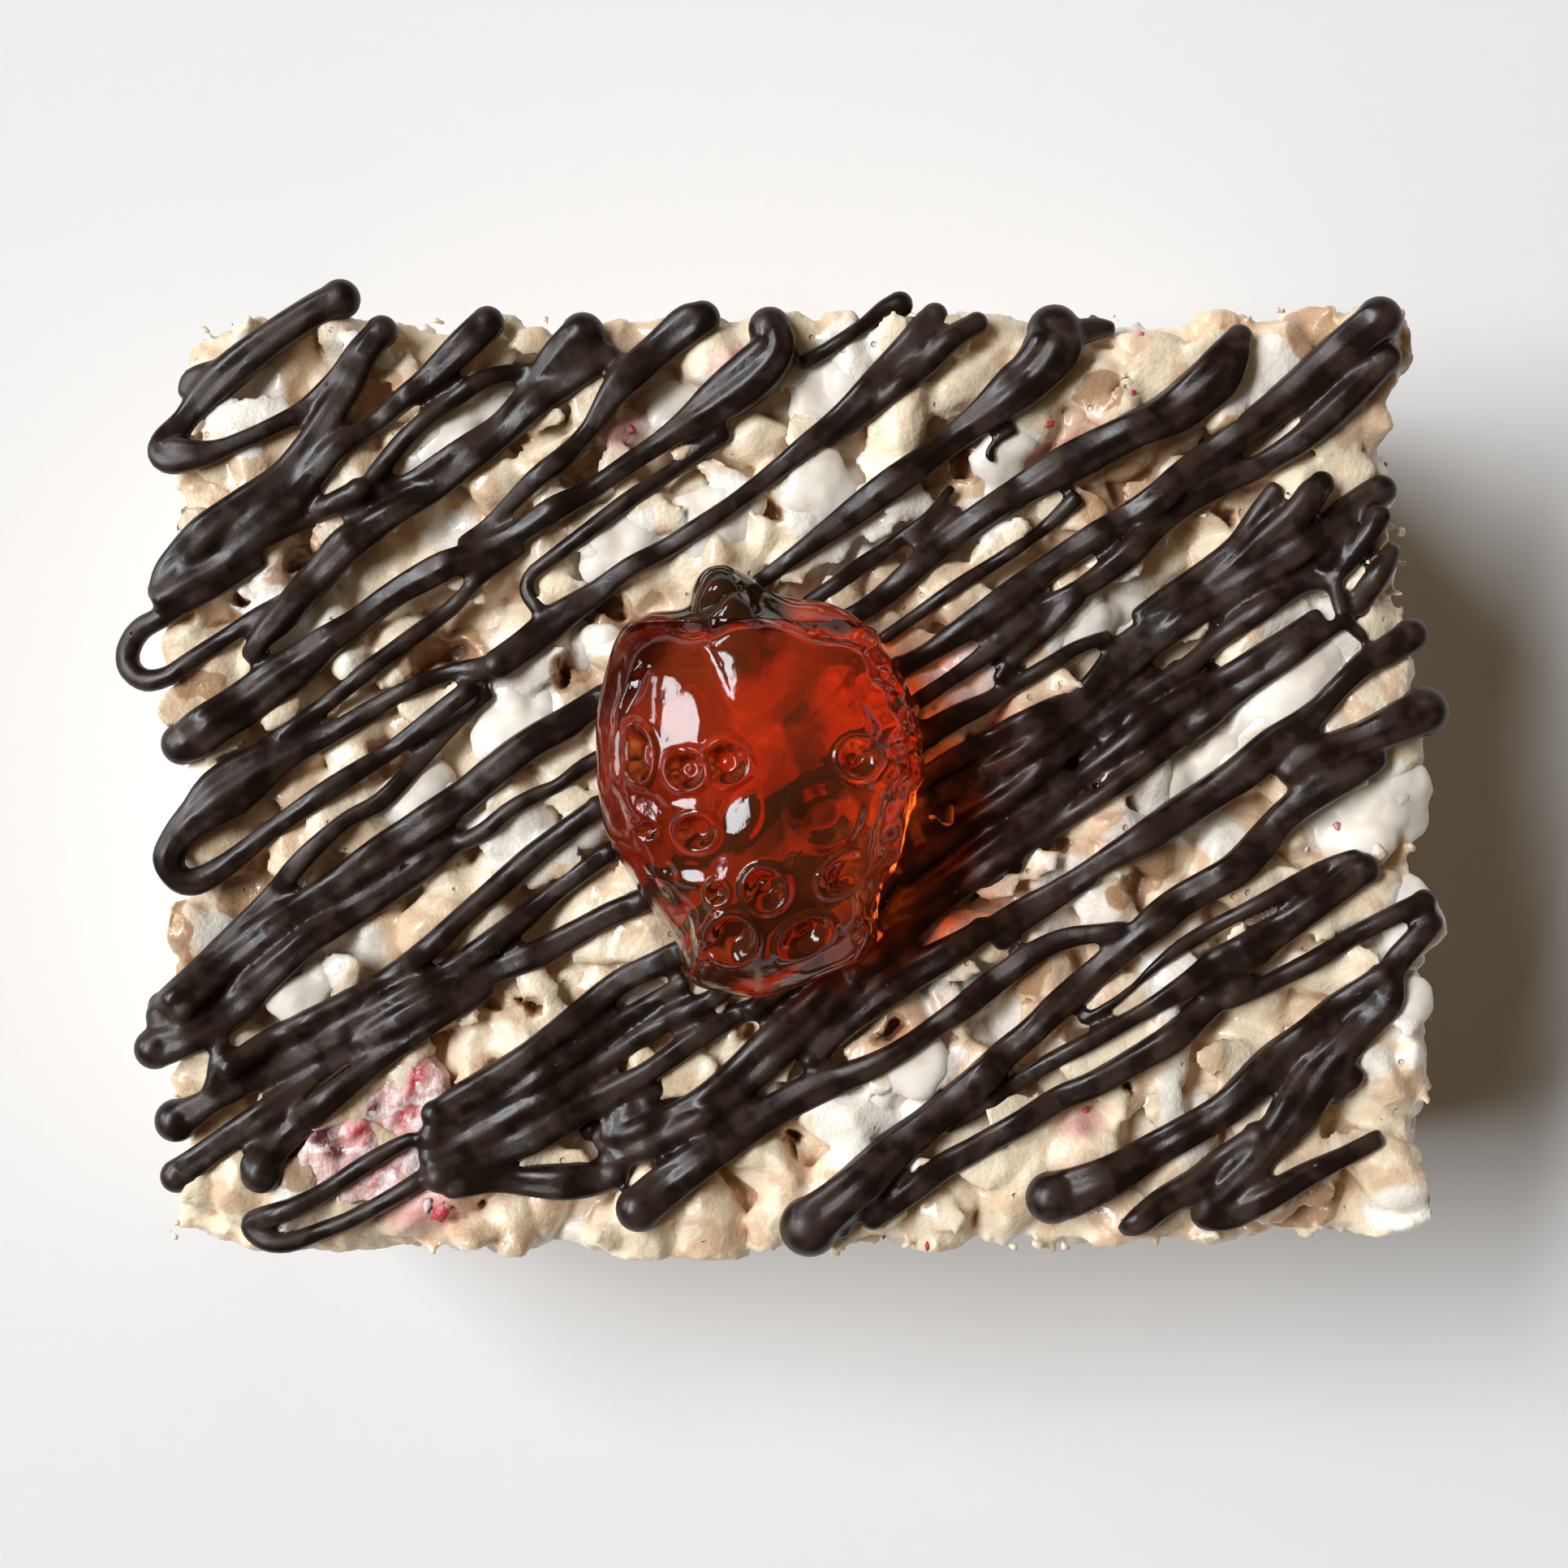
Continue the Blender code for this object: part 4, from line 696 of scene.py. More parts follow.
class Finish:
    """A material under construction: its node tree and its main shader."""

    relief: bpy.types.NodeTree | None = None

    def __init__(self, name: str, **fixed: object) -> None:
        """Start a material.

        Args:
            name: name of the material.
            **fixed: shader inputs that are the same all over, with _ for a space.
        """
        self.material = bpy.data.materials.new(name)
        self.material.use_nodes = True
        self.nodes = Nodes(self.material.node_tree)
        self.shader = self.material.node_tree.nodes["Principled BSDF"]
        for key, value in fixed.items():
            self.shader.inputs[key.replace("_", " ")].default_value = value

    def food_relief(self, coarse: float, fine_scale: float) -> tuple[Socket, Socket]:
        """Place the shared relief group.

        Args:
            coarse: broad swells in a millimetre.
            fine_scale: fine swells in a millimetre.

        Returns:
            Its height and mottle sockets.
        """
        if Finish.relief is None:
            Finish.relief = relief_group()
        node = self.nodes.add("ShaderNodeGroup", {"node_tree": Finish.relief})
        self.nodes.feed(node.inputs["Place"], self.nodes.place())
        self.nodes.feed(node.inputs["Coarse"], coarse)
        self.nodes.feed(node.inputs["Fine"], fine_scale)
        return node.outputs["Height"], node.outputs["Mottle"]

    def colour(self, socket: Socket) -> None:
        """Feed the base colour."""
        self.nodes.feed(self.shader.inputs["Base Color"], socket)

    def roughness(self, socket: Socket) -> None:
        """Feed the roughness."""
        self.nodes.feed(self.shader.inputs["Roughness"], socket)

    def bump(self, height: Socket, depth: float, strength: float = 1.0) -> None:
        """Feed the normal from a height.

        Args:
            height: socket of the height.
            depth: size of a height of 1 in millimetres.
            strength: share of the effect.
        """
        node = self.nodes.add("ShaderNodeBump", Height=height, Distance=depth * MM, Strength=strength)
        self.nodes.feed(self.shader.inputs["Normal"], node.outputs[0])


@dataclass(frozen=True)
class CerealFinish:
    """Puffed rice under a thin glaze of marshmallow: cream, tan, orange-brown and white, with painted shade
    in its crevices.
    """

    cream: Colour = (0.94, 0.77, 0.56)
    tan: Colour = (0.74, 0.50, 0.31)
    glaze: Colour = (0.98, 0.90, 0.79)
    # Orange-brown of bare sugar, also used as painted shade in crevices and on shaded spots.
    amber_and_shade: Colour = (0.46, 0.25, 0.12)
    # Painted shade: the dark brown laid into crevices and pits.
    crevice_shade: Colour = (0.20, 0.095, 0.045)
    blush: Colour = (0.66, 0.27, 0.27)
    scatter: float = 0.25
    # Small open bubbles: how many in a millimetre, radius in cells, share of cells that has one.
    bubbles: tuple[float, float, float] = (1.3, 0.24, 0.2)

    def pores(self, nodes: Nodes) -> Socket:
        """Round open bubbles scattered in patches, 1 inside each."""
        many, radius, share = self.bubbles
        cells = nodes.add("ShaderNodeTexVoronoi", Vector=nodes.place(), Scale=many)
        inside = nodes.fade(cells.outputs["Distance"], radius, 0.6 * radius)
        lot = nodes.add("ShaderNodeSeparateColor", Color=cells.outputs["Color"]).outputs[0]
        patch = nodes.fade(nodes.cloud(nodes.place(), 0.24, 1.0), 0.4, 0.62, 0.0, share)
        return nodes.sum("MULTIPLY", inside, nodes.sum("LESS_THAN", lot, patch))

    def make(self) -> bpy.types.Material:
        """Build the material.

        Returns:
            The material, which reads masks of toast, glaze and blush, and of painted shade in crevices and on
            orange-brown spots.
        """
        finish = Finish(
            "puffed_rice", Subsurface_Weight=self.scatter, Subsurface_Radius=(1.0, 0.8, 0.62),
            Subsurface_Scale=1.4 * MM, IOR=1.46, Coat_Roughness=0.12,
        )
        nodes = finish.nodes
        height, mottle = finish.food_relief(0.5, 4.2)
        toast = nodes.sum("MULTIPLY", nodes.sum("ADD", nodes.mask("toast"), mottle), 0.5)
        base = nodes.blend(nodes.fade(toast, 0.44, 0.66, 0.0, 0.7), self.cream, self.tan)
        base = nodes.blend(nodes.fade(nodes.mask("glaze"), 0.3, 0.55), base, self.glaze)
        # Orange-brown where the sugar is bare, and painted shade on the shaded spots.
        base = nodes.blend(nodes.fade(nodes.mask("amber_and_shade"), 0.35, 0.6, 0.0, 0.8), base, self.amber_and_shade)
        base = nodes.blend(nodes.sum("MULTIPLY", nodes.mask("blush"), 0.75), base, self.blush)
        # Painted shade: crevices and pits turn orange-brown, and the deepest ones dark brown.
        deep = nodes.mask("crevice_shade")
        base = nodes.blend(nodes.fade(deep, 0.1, 0.55, 0.0, 0.8), base, self.amber_and_shade)
        # Open bubbles are painted tan inside, as painted shade in the holes; the bump also presses them in.
        pores = self.pores(nodes)
        base = nodes.blend(nodes.sum("MULTIPLY", pores, 0.75), base, self.tan)
        base = nodes.blend(nodes.fade(deep, 0.4, 1.0), base, self.crevice_shade)
        finish.colour(base)
        sticky = nodes.sum("MAXIMUM", nodes.mask("glaze"), nodes.mask("amber_and_shade"))
        finish.roughness(nodes.fade(sticky, 0.0, 1.0, 0.42, 0.24))
        nodes.feed(finish.shader.inputs["Coat Weight"], nodes.fade(mottle, 0.2, 0.9, 0.15, 0.7))
        open_height = nodes.sum("SUBTRACT", height, nodes.sum("MULTIPLY", pores, 1.6))
        finish.bump(open_height, 0.2, 0.8)
        return finish.material


@dataclass(frozen=True)
class MarshmallowFinish:
    """Set marshmallow: white, satin, with light passing a little way into it."""

    white: Colour = (0.99, 0.90, 0.79)
    warm: Colour = (0.86, 0.76, 0.65)
    scatter: float = 0.3

    def make(self) -> bpy.types.Material:
        """Build the material."""
        finish = Finish(
            "set_marshmallow", Subsurface_Weight=self.scatter, Subsurface_Radius=(1.0, 0.88, 0.76),
            Subsurface_Scale=1.5 * MM, IOR=1.46,
        )
        height, mottle = finish.food_relief(0.6, 3.0)
        finish.colour(finish.nodes.blend(finish.nodes.fade(mottle, 0.4, 1.0), self.white, self.warm))
        finish.roughness(finish.nodes.fade(mottle, 0.0, 1.0, 0.26, 0.4))
        finish.bump(height, 0.06, 0.6)
        return finish.material


@dataclass(frozen=True)
class ChocolateFinish:
    """Dark chocolate, set with a satin gloss and soft streaks along each strand."""

    dark: Colour = (0.012, 0.0055, 0.0038)
    pale: Colour = (0.037, 0.021, 0.015)
    gloss: float = 0.29
    dull: float = 0.43
    streaks: float = 1.9

    def make(self) -> bpy.types.Material:
        """Build the material.

        Returns:
            The material, which reads the masks along and across of a strand.
        """
        finish = Finish("dark_chocolate", IOR=1.46, Specular_IOR_Level=0.42)
        nodes = finish.nodes
        run = nodes.add("ShaderNodeCombineXYZ", X=nodes.sum("MULTIPLY", nodes.mask("along"), 0.12))
        nodes.feed(run.inputs["Y"], nodes.sum("MULTIPLY", nodes.mask("across"), self.streaks))
        streaks = nodes.cloud(run.outputs[0], 1.0, 0.5)
        height, mottle = finish.food_relief(0.6, 7.0)
        bloom = nodes.sum("MULTIPLY", nodes.sum("ADD", streaks, mottle), 0.5)
        finish.colour(nodes.blend(nodes.fade(bloom, 0.3, 0.75), self.dark, self.pale))
        finish.roughness(nodes.fade(mottle, 0.0, 1.0, self.gloss, self.dull))
        finish.bump(height, 0.02, 0.8)
        return finish.material


@dataclass(frozen=True)
class FruitFinish:
    """Freeze-dried strawberry: pale pink sugary flesh with red and maroon juice."""

    pink: Colour = (0.80, 0.52, 0.48)
    red: Colour = (0.50, 0.055, 0.065)
    maroon: Colour = (0.10, 0.008, 0.012)
    sugar: Colour = (0.90, 0.80, 0.78)

    def make(self) -> bpy.types.Material:
        """Build the material, which reads the masks juice and dark."""
        finish = Finish(
            "dried_strawberry", Subsurface_Weight=0.25, Subsurface_Radius=(1.0, 0.35, 0.3),
            Subsurface_Scale=0.9 * MM,
        )
        nodes = finish.nodes
        height, mottle = finish.food_relief(0.9, 4.5)
        juice = nodes.sum("MULTIPLY", nodes.mask("juice"), nodes.fade(mottle, 0.0, 0.7, 0.45, 1.0))
        base = nodes.blend(juice, self.pink, self.red)
        base = nodes.blend(nodes.mask("dark"), base, self.maroon)
        dust = nodes.fade(nodes.cloud(nodes.place(), 1.3, 4.0), 0.5, 0.6, 0.0, 0.8)
        finish.colour(nodes.blend(dust, base, self.sugar))
        finish.roughness(nodes.fade(mottle, 0.0, 1.0, 0.16, 0.42))
        finish.bump(height, 0.22)
        return finish.material


@dataclass(frozen=True)
class JellyFinish:
    """Clear red jelly that grows darker with depth."""

    skin: Colour = (0.97, 0.38, 0.13)
    # Dark of the leaf near the leaf line, and painted shade on the left and lower parts of the jelly.
    leaf_dark_and_shade: Colour = (0.06, 0.013, 0.009)
    depth: Colour = (0.84, 0.58, 0.38)
    density: float = 258.0
    shadow: Colour = (0.64, 0.25, 0.08)
    clear: float = 0.96

    def make(self) -> bpy.types.Material:
        """Build the material.

        Returns:
            The material, which reads a mask of the leaf's dark near the leaf and of painted shade on its left
            and lower parts.
        """
        finish = Finish("red_jelly", Roughness=0.06, IOR=1.42, Transmission_Weight=self.clear)
        nodes = finish.nodes
        # The skin colour darkens by the leaf's dark and by painted shade.
        finish.colour(nodes.blend(nodes.mask("leaf_dark_and_shade"), self.skin, self.leaf_dark_and_shade))
        height, _ = finish.food_relief(0.55, 2.0)
        finish.bump(height, 0.07, 0.7)
        inside = nodes.add("ShaderNodeVolumeAbsorption", Color=(*self.depth, 1.0), Density=self.density)
        out = finish.material.node_tree.nodes["Material Output"]
        nodes.feed(out.inputs["Volume"], inside.outputs[0])
        let_through = nodes.add("ShaderNodeBsdfTransparent", Color=(*self.shadow, 1.0))
        path = nodes.add("ShaderNodeLightPath")
        mix = nodes.add("ShaderNodeMixShader")
        nodes.feed(mix.inputs[0], path.outputs["Is Shadow Ray"])
        nodes.feed(mix.inputs[1], finish.shader.outputs[0])
        nodes.feed(mix.inputs[2], let_through.outputs[0])
        nodes.feed(out.inputs["Surface"], mix.outputs[0])
        return finish.material


@dataclass(frozen=True)
class LeafFinish:
    """Olive-brown jelly of the leaf, almost opaque and glossy."""

    olive: Colour = (0.020, 0.014, 0.004)
    brown: Colour = (0.045, 0.012, 0.006)
    ripe: Colour = (0.50, 0.055, 0.020)

    def make(self) -> bpy.types.Material:
        """Build the material, which reads the mask ripe."""
        finish = Finish(
            "leaf_jelly", Roughness=0.07, IOR=1.42, Subsurface_Weight=0.15, Subsurface_Scale=1.0 * MM,
        )
        height, mottle = finish.food_relief(0.7, 2.6)
        base = finish.nodes.blend(mottle, self.olive, self.brown)
        finish.colour(finish.nodes.blend(finish.nodes.mask("ripe"), base, self.ripe))
        finish.bump(height, 0.04, 0.7)
        return finish.material


@dataclass
class CutBlock:
    """The block's outline at its top, cut by hand, and places inside it."""

    # Each side is a few places of the cut edge: (how far along, how far out).
    left: tuple[Place, ...] = (
        (-22.9, -32.2), (-21.5, -31.2), (-8.0, -31.3), (-1.0, -30.5), (4.0, -31.8), (12.5, -31.3),
        (19.0, -30.9), (22.5, -30.4),
    )
    right: tuple[Place, ...] = (
        (-22.9, 32.0), (-19.1, 31.3), (-14.5, 32.1), (-8.0, 31.8), (-2.0, 31.3), (1.0, 31.6),
        (9.0, 30.8), (16.0, 30.4), (18.8, 29.5), (21.0, 30.8), (23.0, 30.7),
    )
    front: tuple[Place, ...] = (
        (-32.0, -23.2), (-20.0, -23.9), (-15.0, -23.7), (0.0, -24.0), (9.5, -23.5), (13.0, -23.9),
        (22.0, -23.3), (32.0, -22.9),
    )
    back: tuple[Place, ...] = (
        (-30.5, 22.7), (-25.0, 23.8), (-21.5, 23.4), (-10.0, 23.2), (10.0, 23.6), (16.0, 23.3),
        (25.0, 24.0), (30.0, 23.6),
    )

    def reach(self, side: tuple[Place, ...], along: np.ndarray | float) -> np.ndarray | float:
        """How far out a side lies at places along it."""
        return np.interp(along, [at for at, _ in side], [out for _, out in side])

    def place(self, u: float, v: float, inset: float = 0.0) -> Vector:
        """The place for u along X and v along Y, both from 0 to 1.

        Args:
            u: share from left to right.
            v: share from front to back.
            inset: how far inside the cut edge 0 and 1 lie.

        Returns:
            The place in the plane.
        """
        x, y = 0.0, 46.0 * (v - 0.5)
        for _ in range(2):
            low, high = self.reach(self.left, y) + inset, self.reach(self.right, y) - inset
            x = low + (high - low) * u
            low, high = self.reach(self.front, x) + inset, self.reach(self.back, x) - inset
            y = low + (high - low) * v
        return Vector((x, y))

    def outside(self, x: np.ndarray, y: np.ndarray) -> np.ndarray:
        """How far places lie beyond the cut edge, less than 0 inside it."""
        return np.max([
            self.reach(self.left, y) - x, x - self.reach(self.right, y),
            self.reach(self.front, x) - y, y - self.reach(self.back, x),
        ], axis=0)


@dataclass
class Cereal:
    """The block of puffed grains: a core, grains over it and crumbs along its cut edges."""

    cut: CutBlock
    top: float = 27.1
    # How far the core's top lies under the grains' level.
    bed: float = 1.1
    core_inset: float = 0.7
    core_cuts: int = 15
    lump: float = 0.4
    lump_size: float = 9.0
    grain: tuple[float, float, float] = (2.9, 1.6, 1.4)
    varies: float = 0.22
    top_spacing: float = 3.5
    side_spacing: float = 4.3
    side_rows: int = 8
    proud: float = 0.8
    flake: tuple[float, float, float] = (1.7, 1.1, 0.26)
    flakes: int = 260
    crumbs: int = 620
    crust_depth: float = 3.4
    # The knife shaves what stands out further than this inside the cut edge, to this share.
    shaved: float = 0.15
    left_proud: float = 0.12
    # Teeth that the knife tears along a cut edge: height and width.
    teeth: tuple[float, float] = (0.13, 0.5)
    # How far the outlines of pits and glazed places wander, and the width of one swing.
    tear: tuple[float, float] = (0.75, 1.3)
    most_triangles: int = 372000
    # Open pits between grains: middle, half length, half width, turn.
    pits: Ovals = (
        (-27.5, 8.8, 0.6, 0.45, 0.0), (-1.2, 13.6, 0.6, 0.6, 10.0), (8.3, 16.2, 0.55, 0.9, -15.0),
        (-17.4, 6.3, 1.1, 0.6, 10.0), (-11.5, 5.2, 0.5, 0.8, 0.0), (-13.2, -11.2, 0.5, 0.35, 20.0),
        (-0.2, -18.1, 0.5, 0.35, 0.0), (21.7, 13.5, 0.35, 0.75, 20.0), (-2.4, -12.5, 0.4, 0.6, 10.0),
        (-9.3, 8.5, 1.0, 0.45, -20.0), (16.5, -15.2, 0.4, 0.3, 0.0), (4.8, -12.3, 0.7, 0.45, 30.0),
        (27.6, 9.0, 0.6, 0.8, 0.0), (20.2, 16.8, 0.9, 0.3, 35.0), (-24.7, 10.7, 0.9, 0.5, 30.0),
    )
    # Where the sugar is bare and orange-brown; some of these spots, round pits and between strands, are
    # painted shade.
    amber_and_shade: Ovals = (
        (-30.7, -8.0, 0.9, 2.4, 0.0), (-29.7, 4.8, 1.2, 0.8, 0.0), (-27.4, -5.5, 1.8, 1.0, 35.0),
        (-20.3, 0.9, 1.1, 0.6, 35.0), (-24.7, 10.7, 1.6, 1.1, 30.0), (-21.0, 19.3, 1.7, 1.2, 40.0),
        (20.3, 16.8, 1.6, 0.7, 35.0), (16.0, 14.3, 2.4, 1.0, 30.0), (25.5, 22.5, 1.4, 1.6, 0.0),
        (25.5, -21.3, 1.9, 1.3, 20.0), (-24.5, -19.0, 1.2, 0.9, 30.0), (-17.6, 6.3, 2.2, 1.5, 10.0),
        (-9.3, 8.4, 1.8, 1.0, -15.0), (8.3, 16.2, 1.1, 1.4, 0.0), (-11.4, 5.2, 0.9, 1.2, 0.0),
        (17.2, -4.9, 2.0, 1.1, 40.0), (11.7, -10.0, 1.2, 0.7, 30.0), (-11.0, 16.0, 1.4, 0.8, 35.0),
        (15.0, 19.3, 1.3, 0.9, 20.0), (4.8, -12.3, 1.1, 0.8, 30.0),
    )
    # Where the marshmallow covers the grains white.
    white: Ovals = (
        (1.5, 14.5, 2.6, 1.9, 45.0), (-9.0, 11.5, 2.4, 1.5, 35.0), (-3.5, 14.0, 2.0, 1.2, 35.0),
        (-6.0, 18.5, 1.9, 1.2, 35.0), (1.7, 19.3, 2.0, 1.6, 0.0), (-14.0, 3.0, 2.5, 2.0, 35.0),
        (25.0, 5.0, 3.4, 1.8, 40.0), (20.5, 0.8, 2.4, 1.0, 38.0), (28.5, -1.5, 3.4, 2.2, 20.0),
        (30.4, -9.0, 1.7, 4.2, -8.0), (31.0, -21.8, 1.4, 1.2, 0.0), (15.0, 8.0, 3.0, 1.3, 35.0),
        (-16.8, 17.4, 3.4, 1.2, 38.0), (-19.0, -0.7, 1.8, 1.2, 35.0), (-24.5, -10.3, 2.8, 1.2, 35.0),
        (9.0, 12.7, 2.4, 1.1, 35.0), (10.5, 16.5, 1.8, 1.2, 20.0), (17.5, -1.5, 3.0, 0.8, 38.0),
        (-9.8, -12.0, 2.6, 1.0, 35.0), (5.8, -15.2, 3.2, 1.2, 40.0), (-22.0, 21.0, 1.6, 1.0, 0.0),
        (22.5, 20.0, 2.2, 1.0, 50.0), (-10.2, 6.8, 1.4, 1.0, 0.0), (-27.0, 17.2, 1.3, 0.8, 35.0),
        (-11.0, -2.7, 2.0, 0.8, 35.0), (16.7, -5.2, 0.7, 0.5, 20.0),
    )

    # Where fruit has stained the top pink.
    blush: Ovals = (
        (-18.4, -21.2, 2.3, 1.0, 12.0), (-17.2, -19.3, 1.2, 0.9, 0.0), (14.3, -17.0, 1.1, 0.6, 20.0),
        (-8.7, 17.4, 1.3, 0.8, 35.0), (13.4, 16.4, 1.6, 0.7, 35.0), (-24.4, -17.6, 1.2, 0.8, 30.0),
        (17.6, -7.4, 1.2, 0.6, 35.0), (-3.0, 20.6, 1.3, 0.8, 30.0),
    )

    def __post_init__(self) -> None:
        """Start the random numbers and the list of grains."""
        self.draw = random.Random(SEED)
        self.middles: list[Vector] = []

    def core(self) -> bmesh.types.BMesh:
        """Build the slab under the grains."""
        shape = bmesh.new()
        bmesh.ops.create_cube(shape, size=1.0)
        bmesh.ops.subdivide_edges(shape, edges=shape.edges[:], cuts=self.core_cuts, use_grid_fill=True)
        for vert in shape.verts:
            u, v, w = (axis + 0.5 for axis in vert.co)
            flat = self.cut.place(u, v, self.core_inset)
            height = w * (self.top - self.bed)
            swell = self.lump * noise.noise(Vector((flat.x, flat.y, height)) / self.lump_size)
            out = Vector((round(2.0 * vert.co.x * 0.999), round(2.0 * vert.co.y * 0.999))) * swell
            rise = swell if w > 0.999 else 0.0
            vert.co = Vector((flat.x + out.x, flat.y + out.y, height + rise)) * MM
        return shape

    def lay_grain(self, heap: Heap, at: Vector, outward: Vector, proud: float) -> None:
        """Add one grain against a face.

        Args:
            heap: gathers the grains.
            at: place on the face.
            outward: the face's direction.
            proud: how far the grain stands out of the face.
        """
        draw = self.draw
        lying = outward.orthogonal().normalized()
        lying.rotate(Matrix.Rotation(draw.uniform(0.0, math.tau), 3, outward))
        long_axis = (lying + outward * draw.uniform(-0.45, 0.45)).normalized()
        side_axis = outward.cross(long_axis).normalized()
        up_axis = long_axis.cross(side_axis)
        halves = [half * draw.uniform(1.0 - self.varies, 1.0 + self.varies) for half in self.grain]
        axes = Matrix([axis * half for axis, half in zip((long_axis, side_axis, up_axis), halves)])
        centre = at + outward * (proud - halves[2])
        centre.z = max(centre.z, 0.7 * halves[2])
        heap.lump(centre, axes.transposed(), 0.3, draw)
        self.middles.append(centre)

    def grains(self, heap: Heap) -> None:
        """Lay grains over the top and the four sides."""
        draw = self.draw
        columns, rows = round(62.0 / self.top_spacing), round(46.0 / self.top_spacing)
        for column in range(columns):
            for row in range(rows):
                u = (column + draw.uniform(0.15, 0.85)) / columns
                v = (row + draw.uniform(0.15, 0.85)) / rows
                flat = self.cut.place(u, v, 0.9)
                proud = self.proud + draw.uniform(-1.2, 0.35)
                self.lay_grain(heap, Vector((flat.x, flat.y, self.top)), Vector((0, 0, 1)), proud)
        for _ in range(self.flakes):
            flat = self.cut.place(draw.random(), draw.random(), 1.2)
            tilt = Matrix.Rotation(draw.uniform(0.0, math.tau), 3, "Z")
            tilt = tilt @ Matrix.Rotation(draw.uniform(-0.4, 0.4), 3, "Y")
            sizes = [half * draw.uniform(0.7, 1.25) for half in self.flake]
            height = self.top + draw.uniform(0.1, 0.8) * self.proud
            heap.lump(Vector((flat.x, flat.y, height)), tilt @ Matrix.Diagonal(sizes), 0.45, draw)
        for direction in (Vector((1, 0, 0)), Vector((-1, 0, 0)), Vector((0, 1, 0)), Vector((0, -1, 0))):
            length = 47.0 if direction.x else 63.0
            columns = round(length / self.side_spacing)
            for row in range(self.side_rows):
                for column in range(columns):
                    share = (column + 0.5 * (row % 2) + draw.uniform(0.0, 0.6)) / columns
                    share = min(share, 0.99)
                    across = 1.0 if direction.x + direction.y > 0.0 else 0.0
                    u, v = (across, share) if direction.x else (share, across)
                    flat = self.cut.place(u, v)
                    height = (row + draw.uniform(0.2, 0.8)) * (self.top - 0.4) / self.side_rows
                    proud = draw.uniform(-0.65, 0.2)
                    self.lay_grain(heap, Vector((flat.x, flat.y, height)), direction, proud)

    def edge_crumbs(self, heap: Heap) -> None:
        """Strew torn crumbs along the cut edges and over the cut sides."""
        draw = self.draw
        for index in range(self.crumbs):
            share = draw.random()
            across = float(draw.random() > 0.5)
            u, v = (across, share) if index % 5 < 2 else (share, across)
            flat = self.cut.place(u, v, draw.uniform(0.3, 0.9))
            on_rim = index % 2 == 0
            height = self.top + draw.uniform(-2.6, 0.35) if on_rim else draw.uniform(0.8, self.top)
            size = draw.uniform(0.14, 0.34)
            turn = Matrix.Rotation(draw.uniform(0.0, math.tau), 3, Vector((0.3, 0.5, 0.8)).normalized())
            axes = turn @ Matrix.Diagonal((size * 1.4, size, size * 0.8))
            heap.lump(Vector((flat.x, flat.y, height)), axes, 0.5, draw, rings=1)

    def torn(self, places: np.ndarray) -> np.ndarray:
        """Places pushed about sideways, which gives the spots torn outlines."""
        far, width = self.tear
        east = far * waves(places, width, 71.0)
        north = far * waves(places, width, 83.0)
        return places + np.stack([east, north, np.zeros(len(places))], axis=1)

    def sculpt(self, mesh: bpy.types.Mesh) -> None:
        """Give the melted skin its puffed wrinkles, torn edges and pits.

        Args:
            mesh: the skin.
        """
        places = read_places(mesh)
        normals = read_normals(mesh)
        torn_places = self.torn(places)
        smooth = in_spots(torn_places, self.white, 0.3) * (places[:, 2] > self.top - 2.0)
        away = self.cut.outside(places[:, 0], places[:, 1])
        rough = ramp(away, -1.2, 1.2)
        puff = 0.16 * waves(places, 1.5, 3.0) + 0.08 * waves(places, 0.62, 8.0)
        torn = 0.14 * waves(places, 0.9, 15.0) + 0.12 * waves(places, 0.42, 21.0)
        push = puff * (1.0 - 0.85 * smooth) + torn * rough * (1.0 - 0.6 * smooth)
        places += normals * push[:, None]
        for axis, along, side, sign in (
            (0, 1, self.cut.left, -1.0), (0, 1, self.cut.right, 1.0),
            (1, 0, self.cut.front, -1.0), (1, 0, self.cut.back, 1.0),
        ):
            out = sign * (places[:, axis] - self.cut.reach(side, places[:, along])) + self.shaved
            places[:, axis] -= sign * (1.0 - self.left_proud) * np.maximum(out, 0.0)
        height, width = self.teeth
        places += normals * (height * rough * waves(places, width, 27.0))[:, None]
        on_top = ramp(places[:, 2] - self.top, -3.0, 1.5)
        places[:, 2] -= 1.4 * in_spots(torn_places, self.pits, 0.25) * on_top
        places[:, 2] = np.maximum(places[:, 2], 0.0)
        write_places(mesh, places)

    def paint(self, mesh: bpy.types.Mesh) -> None:
        """Store the masks that the finish reads.

        Args:
            mesh: one piece of the skin.
        """
        places = read_places(mesh)
        normals = read_normals(mesh)
        # Painted shade: how far each vertex lies below its smoothed neighbours, which darkens crevices.
        dip = relaxed(mesh, places, 14) - places
        crevice_shade = np.einsum("ij,ij->i", dip, normals)
        on_top = ramp(places[:, 2] - self.top, -2.0, 1.0)
        torn_places = self.torn(places)
        pits = in_spots(torn_places, self.pits, 0.3) * on_top
        glaze = in_spots(torn_places, self.white, 0.25) * on_top
        patches = np.clip(2.2 * waves(places, 5.5, 40.0) - 0.25, 0.0, 0.8)
        broken = np.clip(2.4 * waves(places, 2.6, 44.0) + waves(places, 0.9, 47.0) - 0.5, 0.0, 0.6)
        patches = patches * on_top + broken * (1.0 - on_top)
        drawn = np.maximum(glaze, patches)
